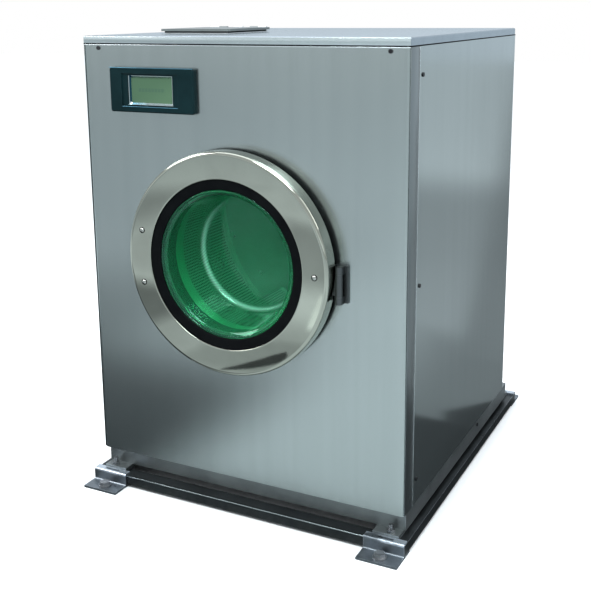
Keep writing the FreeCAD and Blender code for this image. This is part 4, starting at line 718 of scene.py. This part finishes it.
def set_studio():
    """A plain pale floor, a pale surround and soft lights."""
    shape = bmesh.new()
    bmesh.ops.create_grid(shape, x_segments=1, y_segments=1, size=20)
    mesh = bpy.data.meshes.new("studio_floor")
    shape.to_mesh(mesh)
    shape.free()
    floor = bpy.data.objects.new("studio_floor", mesh)
    bpy.context.scene.collection.objects.link(floor)
    mesh.materials.append(pale_floor())
    pale_surround()
    soft_box("left_light", (-2.8, -1.6, 2.8), (0, -0.2, 0.6), 1.6, 1.6, 70)
    soft_box("right_light", (2.6, 0.2, 2.6), (0.2, 0, 0.6), 1.2, 1.6, 30)
    soft_box("high_light", (0.0, 0.2, 3.4), (0, 0, 1.0), 3.6, 3.4, 60, (0.93, 0.96, 1.0))
    soft_box("window_light", (0.35, -1.6, 2.3), (0, -0.4, 0.7), 1.0, 0.8, 34, (0.90, 1.0, 1.0))
    drum_lamp()
    bpy.context.scene.view_settings.view_transform = "Standard"


# ---------------------------------------------------------------- door pieces
def polished_ring(material):
    """The pressed ring, with its smooth round edge and rolled inner lip."""
    low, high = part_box("door_ring")
    face, back = low.y, high.y
    outer, inner = (high.x - low.x) / 2, 0.211
    edge, bead, sheet = 0.009, 0.0015, 0.003
    land, fold = face + 0.0008, face + 0.0108
    # Points just inside both ends of the face, which keep its shading flat.
    hold = 0.00003
    flat = [(inner + bead + 0.002, land - hold), (outer - edge - 0.002, face + hold)]
    profile = arc(inner + bead, land + bead, bead, 180, 270, 4) + flat
    profile += arc(outer - edge, face + edge, edge, -90, 0, 12) + [(outer, back), (outer - sheet, back)]
    profile += arc(outer - edge, face + edge, edge - sheet, 0, -90, 8)
    profile += [(inner + sheet, land + sheet), (inner + sheet, fold), (inner, fold)]
    finish_mesh("polished_ring", turned(profile, 192), material, "door",
                replaces=["door_ring"])


def ring_screws(material, shade_ring_material):
    """The domed heads of the ring's screws, each on a thin black ring of painted shade."""
    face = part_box("door_ring")[0].y + 0.0003
    head, height, shank, depth = 0.0062, 0.0036, 0.003, 0.010
    under = face + 0.0004
    heads = []
    for turn in range(0, 91, 10):
        way = math.radians(turn)
        heads.append((head * math.sin(way), face - height * math.cos(way)))
    heads += [(head, under), (shank, under), (shank, face + depth), (0.0, face + depth)]
    # Painted shade: a thin black ring round each head.
    inner, outer = head - 0.0003, head + 0.0014
    top, bottom = face - 0.0006, face + 0.001
    shade_rings = [(inner, top), (outer, top), (outer, bottom), (inner, bottom)]
    for name, profile, closed, finish, slot, replaced in (
            ("ring_screw_heads", heads, False, material, "bolt_steel", ["door_ring_screws"]),
            ("ring_screw_painted_shade", shade_rings, True, shade_ring_material, "black_rubber", [])):
        whole = bmesh.new()
        for turn in RING_SCREW_TURNS:
            way = math.radians(turn)
            x = DRUM_X + RING_SCREW_CIRCLE * math.cos(way)
            z = DRUM_Z + RING_SCREW_CIRCLE * math.sin(way)
            one = turned(profile, 32, x, z, closed)
            mesh = bpy.data.meshes.new("one_screw")
            one.to_mesh(mesh)
            one.free()
            whole.from_mesh(mesh)
            bpy.data.meshes.remove(mesh)
        finish_mesh(name, whole, finish, "door", replaces=replaced)


def glass_bowl(material):
    """The deep bowl with its flange, smooth right round."""
    low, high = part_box("door_glass")
    front, end = low.y, high.y
    flange, seat, easing = (high.x - low.x) / 2, front + 0.006, 0.003
    mouth, wall = 0.178, 0.007
    bend = 0.026
    tip = mouth - 0.013 - bend
    rim, bead = 0.1815, 0.003
    profile = arc(rim, front - 0.0035, bead, 180, 360, 8)
    profile += [(rim + bead, front), (flange, front), (flange, seat)]
    profile += [(mouth + easing, seat), (mouth, seat + easing)]
    profile += arc(tip, end - bend, bend, 0, 90, 12) + [(0.0, end)]
    profile += [(0.0, end - wall)] + arc(tip, end - bend, bend - wall, 90, 0, 12)
    profile += [(mouth - wall, front + 0.002), (mouth - wall + 0.002, front)]
    finish_mesh("glass_bowl", turned(profile, 160), material, "door", replaces=["door_glass"])


def window_gasket(material):
    """The black rubber between ring and glass, with a round lip on its face."""
    low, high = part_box("glazing_gasket")
    front, rear = low.y, high.y
    inner, outer, groove = 0.185, 0.211, 0.2003
    groove_front, groove_rear = front + 0.010, front + 0.016
    lip, bead, corner = 0.002, 0.0025, 0.0015
    profile = arc(inner + bead, front + lip + bead, bead, 180, 270, 5)
    profile += [(inner + 0.009, front + 0.0012), (outer - 0.003, front + 0.0002)]
    profile += arc(outer - corner, front + corner, corner, 270, 360, 4)
    profile += [(outer, rear), (inner, rear), (inner, groove_rear), (groove, groove_rear)]
    profile += [(groove, groove_front), (inner, groove_front)]
    finish_mesh("window_gasket", turned(profile, 160), material, "door",
                replaces=["glazing_gasket"])


def drum_skin(material):
    """The drum's wall and front plate, smooth, with its rolled lip."""
    low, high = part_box("drum_shell")
    front, rear = low.y, high.y
    outer, sheet = (high.x - low.x) / 2, 0.002
    mouth, lip = 0.200, 0.005
    corner = 0.006
    within = corner - sheet
    bead, beads = 0.0026, (0.082, 0.096)
    profile = [(outer - corner, front)] + arc(mouth + lip, front + lip, lip, -90, -270, 10)
    profile += [(mouth + lip, front + sheet), (outer - corner, front + sheet)]
    profile += arc(outer - corner, front + corner, within, -90, 0, 4)
    for seam in beads:
        profile += arc(outer - sheet, seam, bead, -90, -270, 6)
    profile += [(outer - sheet, rear), (outer, rear)]
    profile += arc(outer - corner, front + corner, corner, 0, -90, 4)[:-1]
    finish_mesh("drum_skin", turned(profile, 160), material, "drum",
                replaces=["drum_shell"])


# ---------------------------------------------------------------- trim
def trim(name, spans, material, soft=0.0003):
    """Thin strips on the cabinet, each given by its two corners, with eased edges."""
    shape = bmesh.new()
    for low, high in spans:
        low, high = Vector(low), Vector(high)
        place = Matrix.Translation((low + high) / 2) @ Matrix.Diagonal((*(high - low), 1))
        bmesh.ops.create_cube(shape, size=1, matrix=place)
    bmesh.ops.bevel(shape, geom=shape.edges[:], offset=soft, offset_type="OFFSET", segments=2,
                    profile=0.5, affect="EDGES", material=-1)
    bmesh.ops.recalc_face_normals(shape, faces=shape.faces)
    finish_mesh(name, shape, material, "cabinet")


def middle_span(half, low, high):
    """A span across the middle, from its half width and the Y and Z of its two corners."""
    return [((-half, *low), (half, *high))]


def both_sides(low, high):
    """A span on the right side and its twin on the left."""
    return [(low, high), ((-high[0], low[1], low[2]), (-low[0], high[1], high[2]))]


def cabinet_trim(rubber):
    """Strips of painted light and shade on the cabinet: a painted shadow in the seam under the cover,
    painted highlights on the fold and lip at the top of the front, the corner seams, the rail's edge and
    the fine edges of the display's housing, and painted shade on the folded corners.
    """
    cover_low, cover_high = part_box("top_cover")
    half, front, rear, fold = cover_high.x, cover_low.y, cover_high.y, cover_low.z
    panel_low, panel_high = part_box("front_panel")
    corner, foot, top = panel_high.y, panel_low.z + 0.0006, panel_high.z - 0.0004
    # Lit and shaded copies of the stainless: painted highlight on the pale and bluish strips and the lip,
    # painted shade on the corners.
    bright = brushed_steel("painted_highlight_steel", (0.66, 0.72, 0.74), (0.84, 0.90, 0.92), 0.2, EVEN_GRAIN)
    lip = brushed_steel("painted_highlight_lip_steel", (0.52, 0.585, 0.60), (0.64, 0.70, 0.72), 0.26, LEVEL_GRAIN)
    dark = brushed_steel("painted_shade_corner_steel", (0.20, 0.225, 0.23), (0.27, 0.30, 0.31), 0.3, UPRIGHT_GRAIN)
    cool = brushed_steel("painted_highlight_blue_steel", (0.10, 0.26, 0.36), (0.20, 0.44, 0.58), 0.25, EVEN_GRAIN)

    # Painted shadow: the black strip in the seam under the cover stands for the shade in its gap.
    seam_front, seam_low, seam_high = front - 0.0008, fold - 0.0001, fold + 0.0029
    seams = middle_span(half + 0.0005, (seam_front, seam_low), (front + 0.0004, seam_high))
    seams += both_sides((half - 0.0004, seam_front, seam_low), (half + 0.0006, rear, seam_high))
    trim("painted_shadow_cover_seam", seams, rubber)
    # Painted highlight: a pale line along the top fold of the front.
    trim("painted_highlight_top_fold", middle_span(half - 0.0002, (front - 0.0010, fold - 0.0024),
                                       (front + 0.0002, fold - 0.0003)), bright)
    # Painted highlight: the cover's front lip is a lighter copy of the cover's steel.
    trim("painted_highlight_cover_lip", middle_span(half - 0.0003, (front - 0.0006, fold + 0.0033),
                                        (front + 0.0003, fold + 0.0195)), lip)
    # Painted highlight: a pale line along each corner seam.
    trim("painted_highlight_corner_seams", both_sides((half - 0.0004, corner - 0.0003, foot),
                                    (half + 0.0011, corner + 0.0011, top)), bright)
    # Painted shade: the folded corners are a darker copy of the panel's steel.
    trim("painted_shade_corner_folds", both_sides((half - 0.0004, front + 0.0010, foot),
                                    (half + 0.0006, corner - 0.0008, top)), dark)

    # Painted highlight: a pale line along the front rail's top edge.
    rail_low, rail_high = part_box("base_rail_front")
    trim("painted_highlight_rail_edge", middle_span(rail_high.x - 0.105, (rail_low.y - 0.0007, rail_high.z - 0.0014),
                                  (rail_low.y + 0.0008, rail_high.z + 0.0005)), bright)
    # Painted highlights: pale bluish lines under the display and along the top of its housing.
    low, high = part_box("control_bezel")
    screen_low, screen_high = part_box("display_frame")
    under_screen = ((screen_low.x - 0.0205, low.y - 0.0007, screen_low.z - 0.0054),
                    (screen_high.x + 0.0145, low.y + 0.0003, screen_low.z - 0.0039))
    along_top = ((low.x + 0.0010, low.y - 0.0005, high.z - 0.0017),
                 (high.x - 0.0010, low.y + 0.0004, high.z - 0.0003))
    trim("painted_highlight_display_edges", [under_screen, along_top], cool, 0.0002)


# ---------------------------------------------------------------- putting it together
def give(name, material):
    """Gives a CAD node its finish."""
    slots = cad[name].data.materials
    slots.clear()
    slots.append(material)


def dress():
    """Gives every CAD node its finish and adds the smooth pieces."""
    panel = ((0.39, 0.435, 0.435), (0.50, 0.55, 0.55))
    look = {
        "frame_steel": painted_metal(
            "black_frame_paint", (0.034, 0.039, 0.042), (0.064, 0.072, 0.077), 0.32,
            (0.80, 0.86, 0.92), dust=0.03, metal=0.85),
        "zinc_sheet": zinc_plate(),
        "bolt_steel": bright_bolt_steel(),
        "chassis_steel": painted_metal(
            "grey_chassis_paint", (0.21, 0.23, 0.235), (0.30, 0.325, 0.33), 0.36,
            (0.60, 0.65, 0.68), dust=0.05, metal=0.85),
        "stainless_panel": brushed_steel("front_and_side_steel", *panel, 0.24, UPRIGHT_GRAIN, dust=0.16),
        "stainless_cover": brushed_steel(
            "cover_steel", (0.31, 0.365, 0.41), (0.44, 0.505, 0.56), 0.24, LEVEL_GRAIN),
        "black_plastic": moulded_plastic(
            "black_moulding", (0.0015, 0.010, 0.012), (0.003, 0.017, 0.020), 0.3, shine=0.12),
        "display_bezel": display_rim(),
        "display_glass": green_display(),
        "grey_plastic": moulded_plastic("grey_moulding", (0.30, 0.31, 0.32), (0.40, 0.41, 0.42), 0.42),
        "stainless_inner": drum_steel("bright_inner_steel"),
        "lid_steel": brushed_steel(
            "lid_steel", (0.20, 0.22, 0.22), (0.29, 0.31, 0.305), 0.34, REARWARD_GRAIN),
        "black_rubber": black_rubber(),
        "polished_steel": polished_ring_steel(),
        "door_fittings": brushed_steel(
            "door_fitting_steel", (0.07, 0.078, 0.08), (0.14, 0.15, 0.155), 0.34, EVEN_GRAIN),
        "glass": bowl_glass(),
        "lock_plastic": moulded_plastic("lock_moulding", (0.02, 0.02, 0.024), (0.045, 0.045, 0.05), 0.45),
        "cast_iron": cast_iron(),
        "bearing_steel": brushed_steel(
            "ground_bearing_steel", (0.48, 0.49, 0.50), (0.70, 0.71, 0.72), 0.18, TURNED_GRAIN),
        "motor_paint": painted_metal(
            "motor_paint", (0.08, 0.10, 0.13), (0.13, 0.16, 0.20), 0.42, (0.40, 0.41, 0.42)),
    }
    for part in frame["record"]["subparts"]:
        give(part["node"], look[part["material_slot"]])
    side = brushed_steel("side_steel", *panel, 0.13, UPRIGHT_GRAIN, dust=0.16)
    give("left_side_panel", side)
    give("right_side_panel", side)
    give("drum_lifters", drum_steel("perforated_lifter_steel", hole_radius=0.34))
    give("panel_screws", black_screw_steel())
    head_steel = brushed_steel("ring_screw_steel", (0.30, 0.31, 0.29), (0.62, 0.63, 0.60), 0.10, EVEN_GRAIN)
    ring_screws(head_steel, look["black_rubber"])
    cabinet_trim(look["black_rubber"])
    polished_ring(look["polished_steel"])
    glass_bowl(look["glass"])
    window_gasket(look["black_rubber"])
    drum_skin(drum_steel("perforated_drum_steel", hole_radius=0.380))


set_camera()
set_studio()
dress()
